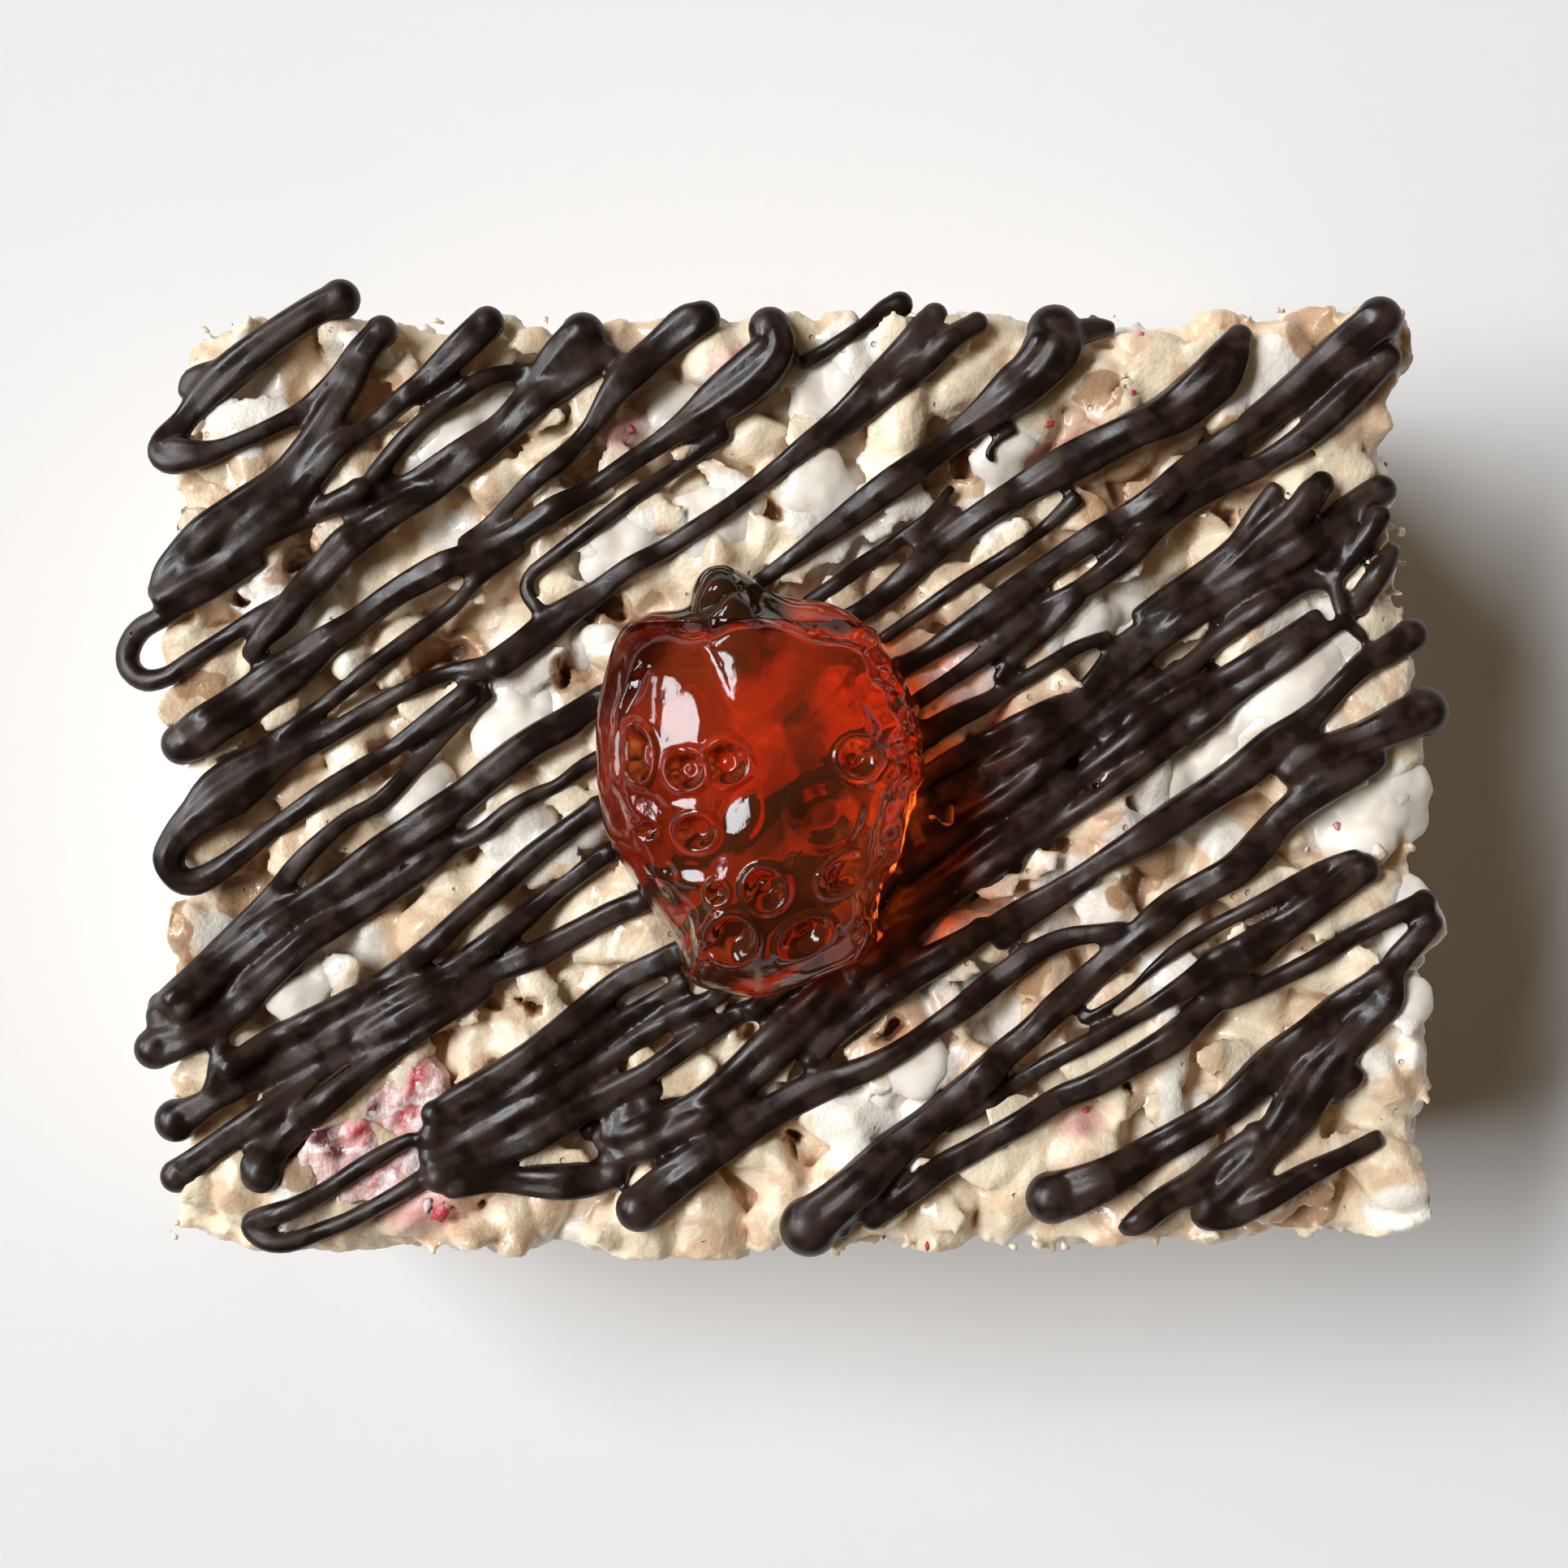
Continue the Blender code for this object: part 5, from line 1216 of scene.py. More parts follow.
        # Bare orange-brown sugar and spots of painted shade on top, and orange-brown noise on the sides.
        amber_and_shade = in_spots(torn_places, self.amber_and_shade, 0.3) * on_top
        sides = np.clip(3.0 * waves(places, 4.2, 61.0) - 1.15, 0.0, 0.8) * (1.0 - on_top)
        tree = search_tree(self.middles)
        draw = random.Random(SEED + 1)
        tints = [draw.random() for _ in self.middles]
        toast = np.array([tints[tree.find(place)[1]] for place in places])
        blended = relaxed(mesh, np.repeat(toast[:, None], 3, axis=1), 2)[:, 0]
        # Painted shade, weaker where the glaze is white and full in the pits.
        deep = np.clip((crevice_shade - 0.1) / 0.45, 0.0, 0.88) * (1.0 - 0.5 * drawn)
        write_mask(mesh, "crevice_shade", np.maximum(deep, pits))
        write_mask(mesh, "toast", blended)
        write_mask(mesh, "glaze", drawn * (1.0 - pits))
        write_mask(mesh, "amber_and_shade", np.maximum(amber_and_shade, sides))
        write_mask(mesh, "blush", in_spots(places, self.blush, 0.6) * on_top)

    def part_of(self, whole: bpy.types.Object, name: str, keep_top: bool) -> bpy.types.Object:
        """Copy the skin's top crust or the rest of it.

        Args:
            whole: the melted skin.
            name: name of the new piece.
            keep_top: True for the crust.

        Returns:
            The piece, with normals that run on across the cut.
        """
        shape = bmesh.new()
        shape.from_mesh(whole.data)
        level = (self.top - self.crust_depth) * MM
        away = [face for face in shape.faces if (face.calc_center_median().z > level) != keep_top]
        bmesh.ops.delete(shape, geom=away, context="FACES")
        piece = object_from(name, shape)
        carried = np.empty(len(piece.data.vertices) * 3, np.float32)
        piece.data.attributes["turned"].data.foreach_get("vector", carried)
        piece.data.shade_smooth()
        piece.data.normals_split_custom_set_from_vertices(carried.reshape(-1, 3).tolist())
        piece.data.attributes.remove(piece.data.attributes["turned"])
        return piece

    def build(self) -> list[bpy.types.Object]:
        """Make the crust and the body of the block.

        Returns:
            The two pieces, the crust first.
        """
        heap = Heap()
        heap.take(self.core())
        self.grains(heap)
        self.edge_crumbs(heap)
        whole = melt(heap.piece("cereal"), fine(0.22), 1)
        self.sculpt(whole.data)
        thin_out(whole, self.most_triangles)
        layer = whole.data.attributes.new("turned", "FLOAT_VECTOR", "POINT")
        layer.data.foreach_set("vector", read_normals(whole.data).astype(np.float32).ravel())
        pieces = [self.part_of(whole, "cereal_crust", True), self.part_of(whole, "cereal_body", False)]
        bpy.data.objects.remove(whole, do_unlink=True)
        finish = CerealFinish().make()
        for piece in pieces:
            self.paint(piece.data)
            ride_as(piece, ("crispy_block",), finish)
        return pieces


class Ground:
    """The height of what the drizzle lies on, read from above."""

    # Rays start here, and what they meet lower than the second height isn't the top.
    start = 60.0
    least = 24.0

    def __init__(self, pieces: list[bpy.types.Object]) -> None:
        """Keep a search tree of each piece."""
        graph = bpy.context.evaluated_depsgraph_get()
        self.trees = [BVHTree.FromObject(piece, graph) for piece in pieces]

    def height(self, x: float, y: float) -> float | None:
        """The highest surface at a place, in millimetres, or None beside the block.

        Args:
            x: place along X in millimetres.
            y: place along Y in millimetres.

        Returns:
            The height, or None.
        """
        above = Vector((x, y, self.start)) * MM
        hits = [tree.ray_cast(above, Vector((0, 0, -1)))[0] for tree in self.trees]
        heights = [hit.z / MM for hit in hits if hit is not None]
        return max(heights) if heights and max(heights) > self.least else None


def scattered(oval: Sequence[float], density: float, draw: random.Random) -> list[Place]:
    """Places scattered over an oval.

    Args:
        oval: middle x and y, half length, half width and turn in degrees.
        density: how many places for each product of the half axes.
        draw: random numbers.

    Returns:
        The places.
    """
    x, y, length, width, turn = oval
    angle = math.radians(turn)
    places = []
    for _ in range(round(density * length * width)):
        far, way = math.sqrt(draw.random()), draw.uniform(0.0, math.tau)
        along, across = length * far * math.cos(way), width * far * math.sin(way)
        at_x = x + along * math.cos(angle) - across * math.sin(angle)
        at_y = y + along * math.sin(angle) + across * math.cos(angle)
        places.append((at_x, at_y))
    return places


@dataclass
class MarshmallowPools:
    """Smooth white marshmallow that has run between the grains and set."""

    # Middle, half length, half width and turn of each pool.
    pools: Ovals = (
        (1.6, 14.6, 2.2, 1.4, 55.0), (-4.0, 13.0, 2.2, 1.2, 35.0), (-9.0, 11.5, 1.9, 1.1, 32.0),
        (1.7, 19.3, 1.6, 1.3, 0.0), (24.6, 4.9, 2.9, 1.3, 40.0), (20.3, 0.9, 1.9, 0.6, 38.0),
        (28.6, -1.6, 2.9, 1.8, 22.0), (30.3, -8.7, 1.0, 3.6, -6.0), (15.2, 8.2, 2.3, 0.8, 35.0),
        (-16.8, 17.4, 2.8, 0.7, 38.0), (-6.0, 18.5, 1.5, 0.8, 35.0), (-14.2, 3.0, 2.0, 1.4, 35.0),
        (-19.0, -0.7, 1.3, 0.8, 35.0), (-24.4, -10.4, 2.2, 0.7, 35.0), (9.4, 12.8, 1.9, 0.7, 35.0),
        (10.5, 16.4, 1.4, 0.7, 25.0), (-10.1, 6.8, 1.0, 0.7, 0.0), (-11.0, -2.7, 1.5, 0.4, 35.0),
        (17.0, 2.0, 1.6, 0.4, 38.0), (5.6, -15.0, 2.4, 0.7, 40.0), (-9.6, -12.0, 1.6, 0.4, 38.0),
    )
    blob: tuple[float, float] = (0.8, 1.3)
    rise: float = 0.18
    most_triangles: int = 90000

    def build(self, ground: Ground) -> bpy.types.Object:
        """Make the pools over the crust.

        Args:
            ground: gives the crust's height.

        Returns:
            The piece.
        """
        draw = random.Random(SEED + 5)
        heap = Heap()
        for pool in self.pools:
            for at_x, at_y in scattered(pool, 9.0, draw):
                level = ground.height(at_x, at_y)
                if level is None:
                    continue
                size = draw.uniform(*self.blob)
                thick = 0.55 * size
                centre = Vector((at_x, at_y, level - thick + self.rise * draw.uniform(0.4, 1.0)))
                heap.lump(centre, Matrix.Diagonal((size, size, thick)), 0.2, draw)
        piece = melt(heap.piece("marshmallow_pools"), fine(0.2), 14)
        thin_out(piece, self.most_triangles)
        ride_as(piece, ("crispy_block",), MarshmallowFinish().make())
        return piece


@dataclass
class Drizzle:
    """The strands of dark chocolate, laid one over another."""

    cut: CutBlock
    step: float = 0.3
    cell: float = 0.25
    slim: float = 0.9
    sink: float = 0.2
    flat: float = 0.88
    bed: float = 0.74
    droop: float = 0.3
    most_rise: float = 1.35
    # Strands bridge hollows deeper than this level, and bend over this length.
    least: float = 26.9
    bend: float = 2.4
    # The skin is made this much too thick and drawn in again, which fills the forks.
    fillet: float = 0.13
    sides: int = 12
    # An end is drawn in over these angles; a thick one swells to a knob, as a share of its width.
    tip: tuple[float, ...] = (25.0, 50.0, 70.0, 84.0)
    # Where strands have run together over a thin film: middle, half length, half width, turn.
    film: Ovals = (
        (9.2, -2.9, 5.2, 2.2, 36.0), (17.6, 3.0, 4.6, 1.5, 33.0), (-8.4, -16.6, 2.6, 1.0, 35.0),
        (24.6, 11.3, 2.6, 1.2, 40.0), (-26.6, -9.6, 2.4, 0.9, 38.0),
    )
    film_drop: tuple[float, float] = (0.9, 0.3)
    # How far out from the middle the ground is read, along X and along Y.
    ground_half: Place = (33.0, 25.0)
    # Strands are set apart by this much in the streaks.
    apart: float = 20.0
    # The share of the extra thickness that is drawn in again.
    drawn_in: float = 0.88
    most_triangles: int = 196000
    knob: float = 1.1
    knob_from: float = 1.05
    reach: float = 40.0

    def __post_init__(self) -> None:
        """Start the map of heights that later strands lie on."""
        cells = round(2.0 * self.reach / self.cell)
        self.map = np.full((cells, cells), -1.0)
        self.samples: list[tuple[Vector, Vector, float]] = []
        self.run = 0.0

    def cell_of(self, x: float, y: float) -> tuple[int, int]:
        """The map's cell at a place."""
        return int((x + self.reach) / self.cell), int((y + self.reach) / self.cell)

    def read_ground(self, ground: Ground) -> None:
        """Fill the map from the surface under the strands.

        Args:
            ground: gives the heights.
        """
        cells = len(self.map)
        for column in range(cells):
            x = (column + 0.5) * self.cell - self.reach
            if abs(x) > self.ground_half[0]:
                continue
            for row in range(cells):
                y = (row + 0.5) * self.cell - self.reach
                if abs(y) > self.ground_half[1]:
                    continue
                level = ground.height(x, y)
                if level is not None:
                    self.map[column, row] = level
        shifts = range(-2, 3)
        around = [np.roll(self.map, (east, north), (0, 1)) for east in shifts for north in shifts]
        self.map = np.where(self.map > 0.0, 0.6 * np.max(around, axis=0) + 0.4 * self.map, -1.0)
        self.bare = self.map.copy()

    def line(self, route: Route) -> tuple[np.ndarray, np.ndarray]:
        """Places and widths at even steps along a strand, its ends drawn in round.

        Args:
            route: listed places and widths.

        Returns:
            Places, one row each, and the width at each.
        """
        points = np.array(route)
        length = float(np.sum(np.hypot(*np.diff(points[:, :2], axis=0).T)))
        steps = max(6, round(length / self.step))
        rows = [curve_through(points, share) for share in np.linspace(0.0, len(points) - 1.0, steps)]
        laid = np.array(rows)
        for end, inner in ((0, 1), (-1, -2)):
            radius = 0.5 * laid[end, 2]
            way = laid[end, :2] - laid[inner, :2]
            way /= max(float(np.hypot(*way)), 1e-6)
            angles = np.radians(self.tip)
            start = laid[end, :2] - 0.35 * radius * way
            tip = [[*(start + way * radius * math.sin(a)), 2.0 * radius * math.cos(a)] for a in angles]
            body = laid[:-1] if end else laid[1:]
            laid = np.vstack([body, tip]) if end else np.vstack([tip[::-1], body])
        return laid[:, :2], self.slim * laid[:, 2]

    def level(self, flat: np.ndarray, width: np.ndarray) -> np.ndarray:
        """Height of a strand's middle line over what it crosses.

        Args:
            flat: places of the strand.
            width: its width at each.

        Returns:
            One height for each place.
        """
        cells = [self.cell_of(x, y) for x, y in flat]
        heights, bare = (np.array([grid[cell] for cell in cells]) for grid in (self.map, self.bare))
        known = bare > self.least
        steps = np.arange(len(flat))
        bare = np.interp(steps, steps[known], bare[known]) if known.any() else np.full(len(flat), 27.6)
        heights = np.clip(heights, bare, bare + self.most_rise)
        window = round(self.bend / self.step) | 1
        kernel = np.hanning(window + 2)[1:-1]
        kernel /= kernel.sum()
        padded = np.pad(heights, window // 2, mode="edge")
        smooth = np.convolve(padded, kernel, mode="valid")
        away = np.maximum(self.cut.outside(flat[:, 0], flat[:, 1]), 0.0)
        smooth -= self.droop * away ** 1.5
        middle = smooth + self.sink * width
        under = np.array([JellyBody.covers(x, y, 0.4) for x, y in flat])
        lid = JELLY_BASE - 0.04 - 0.5 * self.flat * width
        return np.where(under, np.minimum(middle, lid), middle)

    def tube(
        self, flat: np.ndarray, radius: np.ndarray, height: np.ndarray, squash: float
    ) -> bmesh.types.BMesh:
        """Build one closed tube.

        Args:
            flat: places of its middle line.
            radius: its radius at each.
            height: its height at each.
            squash: its thickness from below to above as a share of its width.

        Returns:
            The tube, in metres.
        """
        curve = bpy.data.curves.new("strand", "CURVE")
        curve.dimensions = "3D"
        curve.twist_mode = "Z_UP"
        curve.bevel_depth = 1.0
        curve.bevel_resolution = (self.sides - 4) // 2
        spline = curve.splines.new("POLY")
        spline.points.add(len(flat) - 1)
        for point, place, thick in zip(spline.points, flat, radius):
            point.co = (place[0], place[1], 0.0, 1.0)
            point.radius = max(float(thick), 0.01)
        guide = link_object("strand_line", curve)
        graph = bpy.context.evaluated_depsgraph_get()
        mesh = bpy.data.meshes.new_from_object(guide.evaluated_get(graph))
        bpy.data.objects.remove(guide, do_unlink=True)
        ring = len(mesh.vertices) // len(flat)
        places = read_places(mesh) * MM
        places[:, 2] = places[:, 2] * squash + np.repeat(height, ring)
        write_places(mesh, places)
        shape = bmesh.new()
        shape.from_mesh(mesh)
        bpy.data.meshes.remove(mesh)
        bmesh.ops.holes_fill(shape, edges=shape.edges[:], sides=0)
        bmesh.ops.recalc_face_normals(shape, faces=shape.faces[:])
        return shape

    @staticmethod
    def beads(widest: float) -> tuple[tuple[float, float], ...]:
        """Beads that a strand is made of: place across it and width, as shares of its own width."""
        if widest < 1.35:
            return ()
        if widest < 2.0:
            return (0.21, 0.57), (-0.2, 0.59)
        return (0.3, 0.39), (0.02, 0.42), (-0.29, 0.41)

    def lay(self, heap: Heap, route: Route, draw: random.Random) -> None:
        """Lay one strand, bead by bead, over the strands before it.

        Args:
            heap: gathers the strands.
            route: listed places and widths.
            draw: random numbers.
        """
        flat, width = self.line(route)
        height = self.level(flat, width)
        way = np.gradient(flat, axis=0)
        way /= np.maximum(np.hypot(*way.T), 1e-6)[:, None]
        side = np.stack([-way[:, 1], way[:, 0]], axis=1)
        far = np.arange(len(flat)) * self.step

        def wave(least: float, most: float) -> np.ndarray:
            """A slow swing along the strand."""
            return np.sin(far / draw.uniform(least, most) + draw.uniform(0.0, math.tau))

        width = width * (1.0 + 0.06 * wave(0.8, 1.5))
        beads = self.beads(float(width.max()))
        squash = self.bed if beads else self.flat
        heap.take(self.tube(flat, 0.5 * width + self.fillet, height, squash))
        for end in (len(self.tip), -1 - len(self.tip)):
            if width[end] >= self.knob_from:
                radius = 0.5 * self.knob * width[end] + self.fillet
                round_end = Matrix.Diagonal((radius, radius, self.flat * radius))
                heap.lump(Vector((*flat[end], height[end])), round_end, 0.0, draw, rings=3)
        for seat, size in beads:
            share = seat + 0.06 * wave(1.6, 3.6)
            radius = 0.5 * size * width * (1.0 + 0.12 * wave(1.0, 2.4))
            crown = 0.5 * width * np.sqrt(np.maximum(1.0 - (2.0 * share) ** 2, 0.0))
            rope = flat + side * (share * width)[:, None]
            heap.take(self.tube(rope, radius + self.fillet, height + self.flat * (crown - radius), self.flat))
        for place, across, top, full in zip(flat, side, height, width):
            self.samples.append((Vector((*place, top)), Vector((*across, 0.0)), self.run))
            self.run += self.step
            for share in (-0.35, 0.0, 0.35):
                x, y = place + across * share * full
                column, row = self.cell_of(x, y)
                rise = top + 0.5 * self.flat * full * math.sqrt(1.0 - (2.0 * share) ** 2) - 0.25 * full
                self.map[column, row] = max(self.map[column, row], rise)
        self.run += self.apart

    def paint(self, mesh: bpy.types.Mesh) -> None:
        """Store how far along and across its strand each vertex lies.

        Args:
            mesh: the melted drizzle.
        """
        tree = search_tree([place for place, _, _ in self.samples])
        places = read_places(mesh)
        along = np.empty(len(places))
        across = np.empty(len(places))
        for index, place in enumerate(places):
            middle, side, run = self.samples[tree.find(place)[1]]
            along[index] = run
            across[index] = (Vector(place) - middle).dot(side) + 3.0 * (run // self.apart % 7.0)
        write_mask(mesh, "along", along)
        write_mask(mesh, "across", across)

    def build(self, ground: Ground) -> bpy.types.Object:
        """Lay all strands and melt them into one piece.

        Args:
            ground: what they lie on.

        Returns:
            The piece.
        """
        self.read_ground(ground)
        draw = random.Random(SEED + 9)
        heap = Heap()
        size, thick = self.film_drop
        for spot in self.film:
            for at_x, at_y in scattered(spot, 6.0, draw):
                level = self.bare[self.cell_of(at_x, at_y)]
                heap.lump(Vector((at_x, at_y, level)), Matrix.Diagonal((size, size, thick)), 0.2, draw)
        for route in STRANDS:
            self.lay(heap, route, draw)
        piece = melt(heap.piece("chocolate_drizzle"), fine(0.12), int(fine(5)))
        places = read_places(piece.data) - self.drawn_in * self.fillet * read_normals(piece.data)
        write_places(piece.data, places)
        thin_out(piece, self.most_triangles)
        self.paint(piece.data)
        ride_as(piece, ("crispy_block",), ChocolateFinish().make())
        return piece


@dataclass
class DriedFruit:
    """A slice of freeze-dried strawberry under the strands, and red specks of it."""

    # The slice's outline on the block's top.
    outline: tuple[Place, ...] = (
        (-19.6, -13.2), (-17.9, -13.4), (-17.3, -15.0), (-17.6, -17.0), (-18.0, -19.2), (-19.2, -20.9),
        (-22.0, -20.8), (-24.0, -20.1), (-24.9, -18.5), (-23.8, -17.0), (-21.6, -15.4),
    )
    thick: float = 1.4
    proud: float = 0.4
    juice: Ovals = (
        (-21.5, -17.5, 0.9, 0.7, 20.0), (-19.2, -16.5, 0.8, 0.5, 60.0), (-18.7, -14.6, 0.4, 1.0, -20.0),
        (-20.8, -19.6, 1.0, 0.4, 20.0),
    )
    dark: Ovals = (
        (-23.3, -17.6, 0.8, 0.6, 0.0), (-22.7, -18.3, 0.5, 0.4, 0.0), (-20.9, -16.3, 0.25, 0.5, -20.0),
    )
    # Specks that lie bare on the top: place and size.
    specks: tuple[tuple[float, float, float], ...] = (
        (27.0, -2.3, 0.22), (6.6, -23.2, 0.2), (4.5, -23.0, 0.16), (12.6, 17.7, 0.24), (17.1, 22.1, 0.2),
        (16.6, 19.1, 0.2), (-8.2, 17.5, 0.2), (14.5, -16.5, 0.22), (-17.4, -21.2, 0.5),
        (-18.1, -20.9, 0.3), (30.1, 16.2, 0.18), (-22.6, 17.8, 0.16), (25.6, -3.4, 0.14),
    )

    def build_slice(self) -> bpy.types.Object:
        """Make the slice.

        Returns:
            The piece.
        """
        shape = bmesh.new()
        level = self.proud + 27.5
        rim = [shape.verts.new(Vector((x, y, level - self.thick))) for x, y in self.outline]
        bottom = shape.faces.new(rim)
        grown = bmesh.ops.extrude_face_region(shape, geom=[bottom])["geom"]
        lid = [part for part in grown if isinstance(part, bmesh.types.BMVert)]
        bmesh.ops.translate(shape, vec=(0.0, 0.0, self.thick), verts=lid)
        bmesh.ops.scale(shape, vec=(MM,) * 3, verts=shape.verts[:])
        bmesh.ops.recalc_face_normals(shape, faces=shape.faces[:])
        piece = melt(object_from("dried_strawberry_slice", shape), 0.16, 6)
        places = read_places(piece.data)
        normals = read_normals(piece.data)
        push = 0.42 * waves(places, 1.6, 5.0) + 0.2 * waves(places, 0.6, 9.0)
        places += normals * push[:, None]
        write_places(piece.data, places)
        write_mask(piece.data, "juice", in_spots(places, self.juice, 0.5))
        write_mask(piece.data, "dark", 0.95 * in_spots(places, self.dark, 0.4))
        ride_as(piece, ("crispy_block",), FruitFinish().make())
        return piece

    def build_specks(self, ground: Ground) -> bpy.types.Object:
        """Make the specks, each pressed into the crust.

        Args:
            ground: gives the height of the crust.

        Returns:
            The piece.
        """
        draw = random.Random(SEED + 13)
        heap = Heap()
        for x, y, size in self.specks:
            level = ground.height(x, y)
            if level is None:
                continue
            axes = Matrix.Rotation(draw.uniform(0.0, math.tau), 3, "Z")
            axes = axes @ Matrix.Diagonal((size * 1.3, size * 0.8, size * 0.5))
            heap.lump(Vector((x, y, level)), axes, 0.5, draw)
        piece = heap.piece("strawberry_specks")
        write_mask(piece.data, "juice", np.ones(len(piece.data.vertices)))
        ride_as(piece, ("crispy_block",), bpy.data.materials["dried_strawberry"])
        return piece


@dataclass
class JellyBody:
    """The moulded sweet: flat back, rounded rim, domed front with pressed seeds."""

    around: int = int(fine(360))
    rings: int = int(fine(110))
    foot: float = 0.9
    edge_level: float = 0.2
    full: float = 0.62
    round_up: float = 0.9
    # Seeds: place, half length, half width, turn, depth of the pit.
    seeds: Ovals = (
        (-7.1, 1.2, 0.75, 1.45, 8.0, 0.8), (-4.9, 0.5, 1.0, 1.0, 0.0, 0.75),
        (-3.1, 0.8, 1.05, 1.05, 0.0, 0.75), (-4.5, -2.3, 1.0, 0.9, 0.0, 0.8),
        (-1.4, -4.9, 1.05, 1.05, 0.0, 0.8), (-2.9, -7.1, 1.2, 1.1, 0.0, 0.75),
        (0.4, -7.1, 1.4, 0.85, 25.0, 0.65), (2.1, -4.2, 1.35, 0.85, 40.0, 0.55),
        (2.7, 1.0, 0.95, 0.95, 0.0, 0.5), (1.2, -1.5, 1.6, 1.5, 0.0, 0.22),
        (-3.6, -5.1, 0.6, 0.6, 0.0, 0.4), (-6.8, -2.3, 0.55, 0.5, 0.0, 0.4),
    )
    # Oval flats that catch the window: place, half length, half width, turn, how flat it is.
    flats: Ovals = (
        (-5.1, 2.5, 1.4, 1.0, 75.0, 0.9), (-2.6, -1.6, 1.1, 0.9, 80.0, 0.85),
        (-4.7, -4.3, 0.8, 0.5, 0.0, 0.85), (-6.1, -4.2, 0.6, 0.45, 0.0, 0.85),
        (-6.8, -1.2, 0.9, 0.6, -20.0, 0.85), (-4.9, -1.0, 0.7, 0.35, 0.0, 0.8),
        (-8.2, 1.2, 1.5, 0.35, 88.0, 0.85), (-7.6, 3.9, 1.2, 0.4, 55.0, 0.85),
        (-3.7, 8.3, 0.9, 0.5, 30.0, 0.9), (-4.0, -7.9, 0.6, 0.4, 45.0, 0.8),
    )
    # How the plane of such a flat rises along X and along Y.
    facing: Place = (0.331, -0.095)
    # The lip under the leaf: level along Y, reach along X to both sides, height and half width.
    lip: tuple[float, float, float, float, float] = (6.3, -6.0, 3.2, 0.3, 0.45)
    whole: bpy.types.Mesh | None = None

    @staticmethod
    def covers(x: float, y: float, margin: float) -> bool:
        """True where the sweet lies over a place, with a margin round it."""
        points = JELLY_OUTLINE
        middle_x, middle_y = JELLY_MIDDLE
        shrink = 1.0 + margin / JELLY_REACH
        at_x, at_y = middle_x + (x - middle_x) / shrink, middle_y + (y - middle_y) / shrink
        inside = False
        for (ax, ay), (bx, by) in zip(points, points[1:] + points[:1]):
            if (ay > at_y) != (by > at_y) and at_x < ax + (at_y - ay) * (bx - ax) / (by - ay):
                inside = not inside
        return inside

    def outline(self) -> np.ndarray:
        """Even places on the closed curve through the outline's points."""
        points = np.array(JELLY_OUTLINE)
        looped = np.vstack([points[-1:], points, points[:2]])
        shares = np.linspace(1.0, len(points) + 1.0, self.around, endpoint=False)
        return np.array([curve_through(looped, share) for share in shares])

    def shell(self) -> bmesh.types.BMesh:
        """Build the plain moulded form ring by ring.

        Returns:
            A closed bmesh in millimetres.
        """
        outline = self.outline()
        middle = Vector((*outline.mean(axis=0), 0.0))
        shape = bmesh.new()
        ring = [shape.verts.new(Vector((x, y, JELLY_BASE))) for x, y in outline]
        shape.faces.new(ring)
        bmesh.ops.scale(shape, vec=(self.foot, self.foot, 1.0), space=Matrix.Translation(-middle), verts=ring)
        angles = [0.5 * math.pi * step / self.rings for step in range(self.rings)]
        levels = [(1.0, 0.4 * self.edge_level)] + [
            (
                math.cos(angle) ** self.full,
                math.sin(angle) ** self.round_up * (1.0 - self.edge_level) + self.edge_level,
            )
            for angle in angles
        ]
        rim = shape.edges[:]
        scale, height = self.foot, 0.0
        for next_scale, next_height in levels:
            grown = bmesh.ops.extrude_edge_only(shape, edges=rim)["geom"]
            ring = [part for part in grown if isinstance(part, bmesh.types.BMVert)]
            rim = [part for part in grown if isinstance(part, bmesh.types.BMEdge)]
            rim = [edge for edge in rim if all(vert in ring for vert in edge.verts)]
            grow = next_scale / scale
            bmesh.ops.scale(shape, vec=(grow, grow, 1.0), space=Matrix.Translation(-middle), verts=ring)
            rise = (next_height - height) * JELLY_HEIGHT
            bmesh.ops.translate(shape, vec=(0.0, 0.0, rise), verts=ring)
            scale, height = next_scale, next_height
        lid = bmesh.ops.edgeloop_fill(shape, edges=rim)["faces"]
        bmesh.ops.poke(shape, faces=lid)
        bmesh.ops.recalc_face_normals(shape, faces=shape.faces[:])
        return shape

    def share_out(self, places: np.ndarray) -> np.ndarray:
        """How far out each place lies, from 0 in the middle to 1 at the outline."""
        outline = self.outline()
        middle = outline.mean(axis=0)
        rim = outline - middle
        angles = np.arctan2(rim[:, 1], rim[:, 0])
        order = np.argsort(angles)
        away = places[:, :2] - middle
        reach = np.interp(
            np.arctan2(away[:, 1], away[:, 0]), angles[order], np.hypot(*rim[order].T), period=math.tau
        )
        return np.hypot(*away.T) / reach

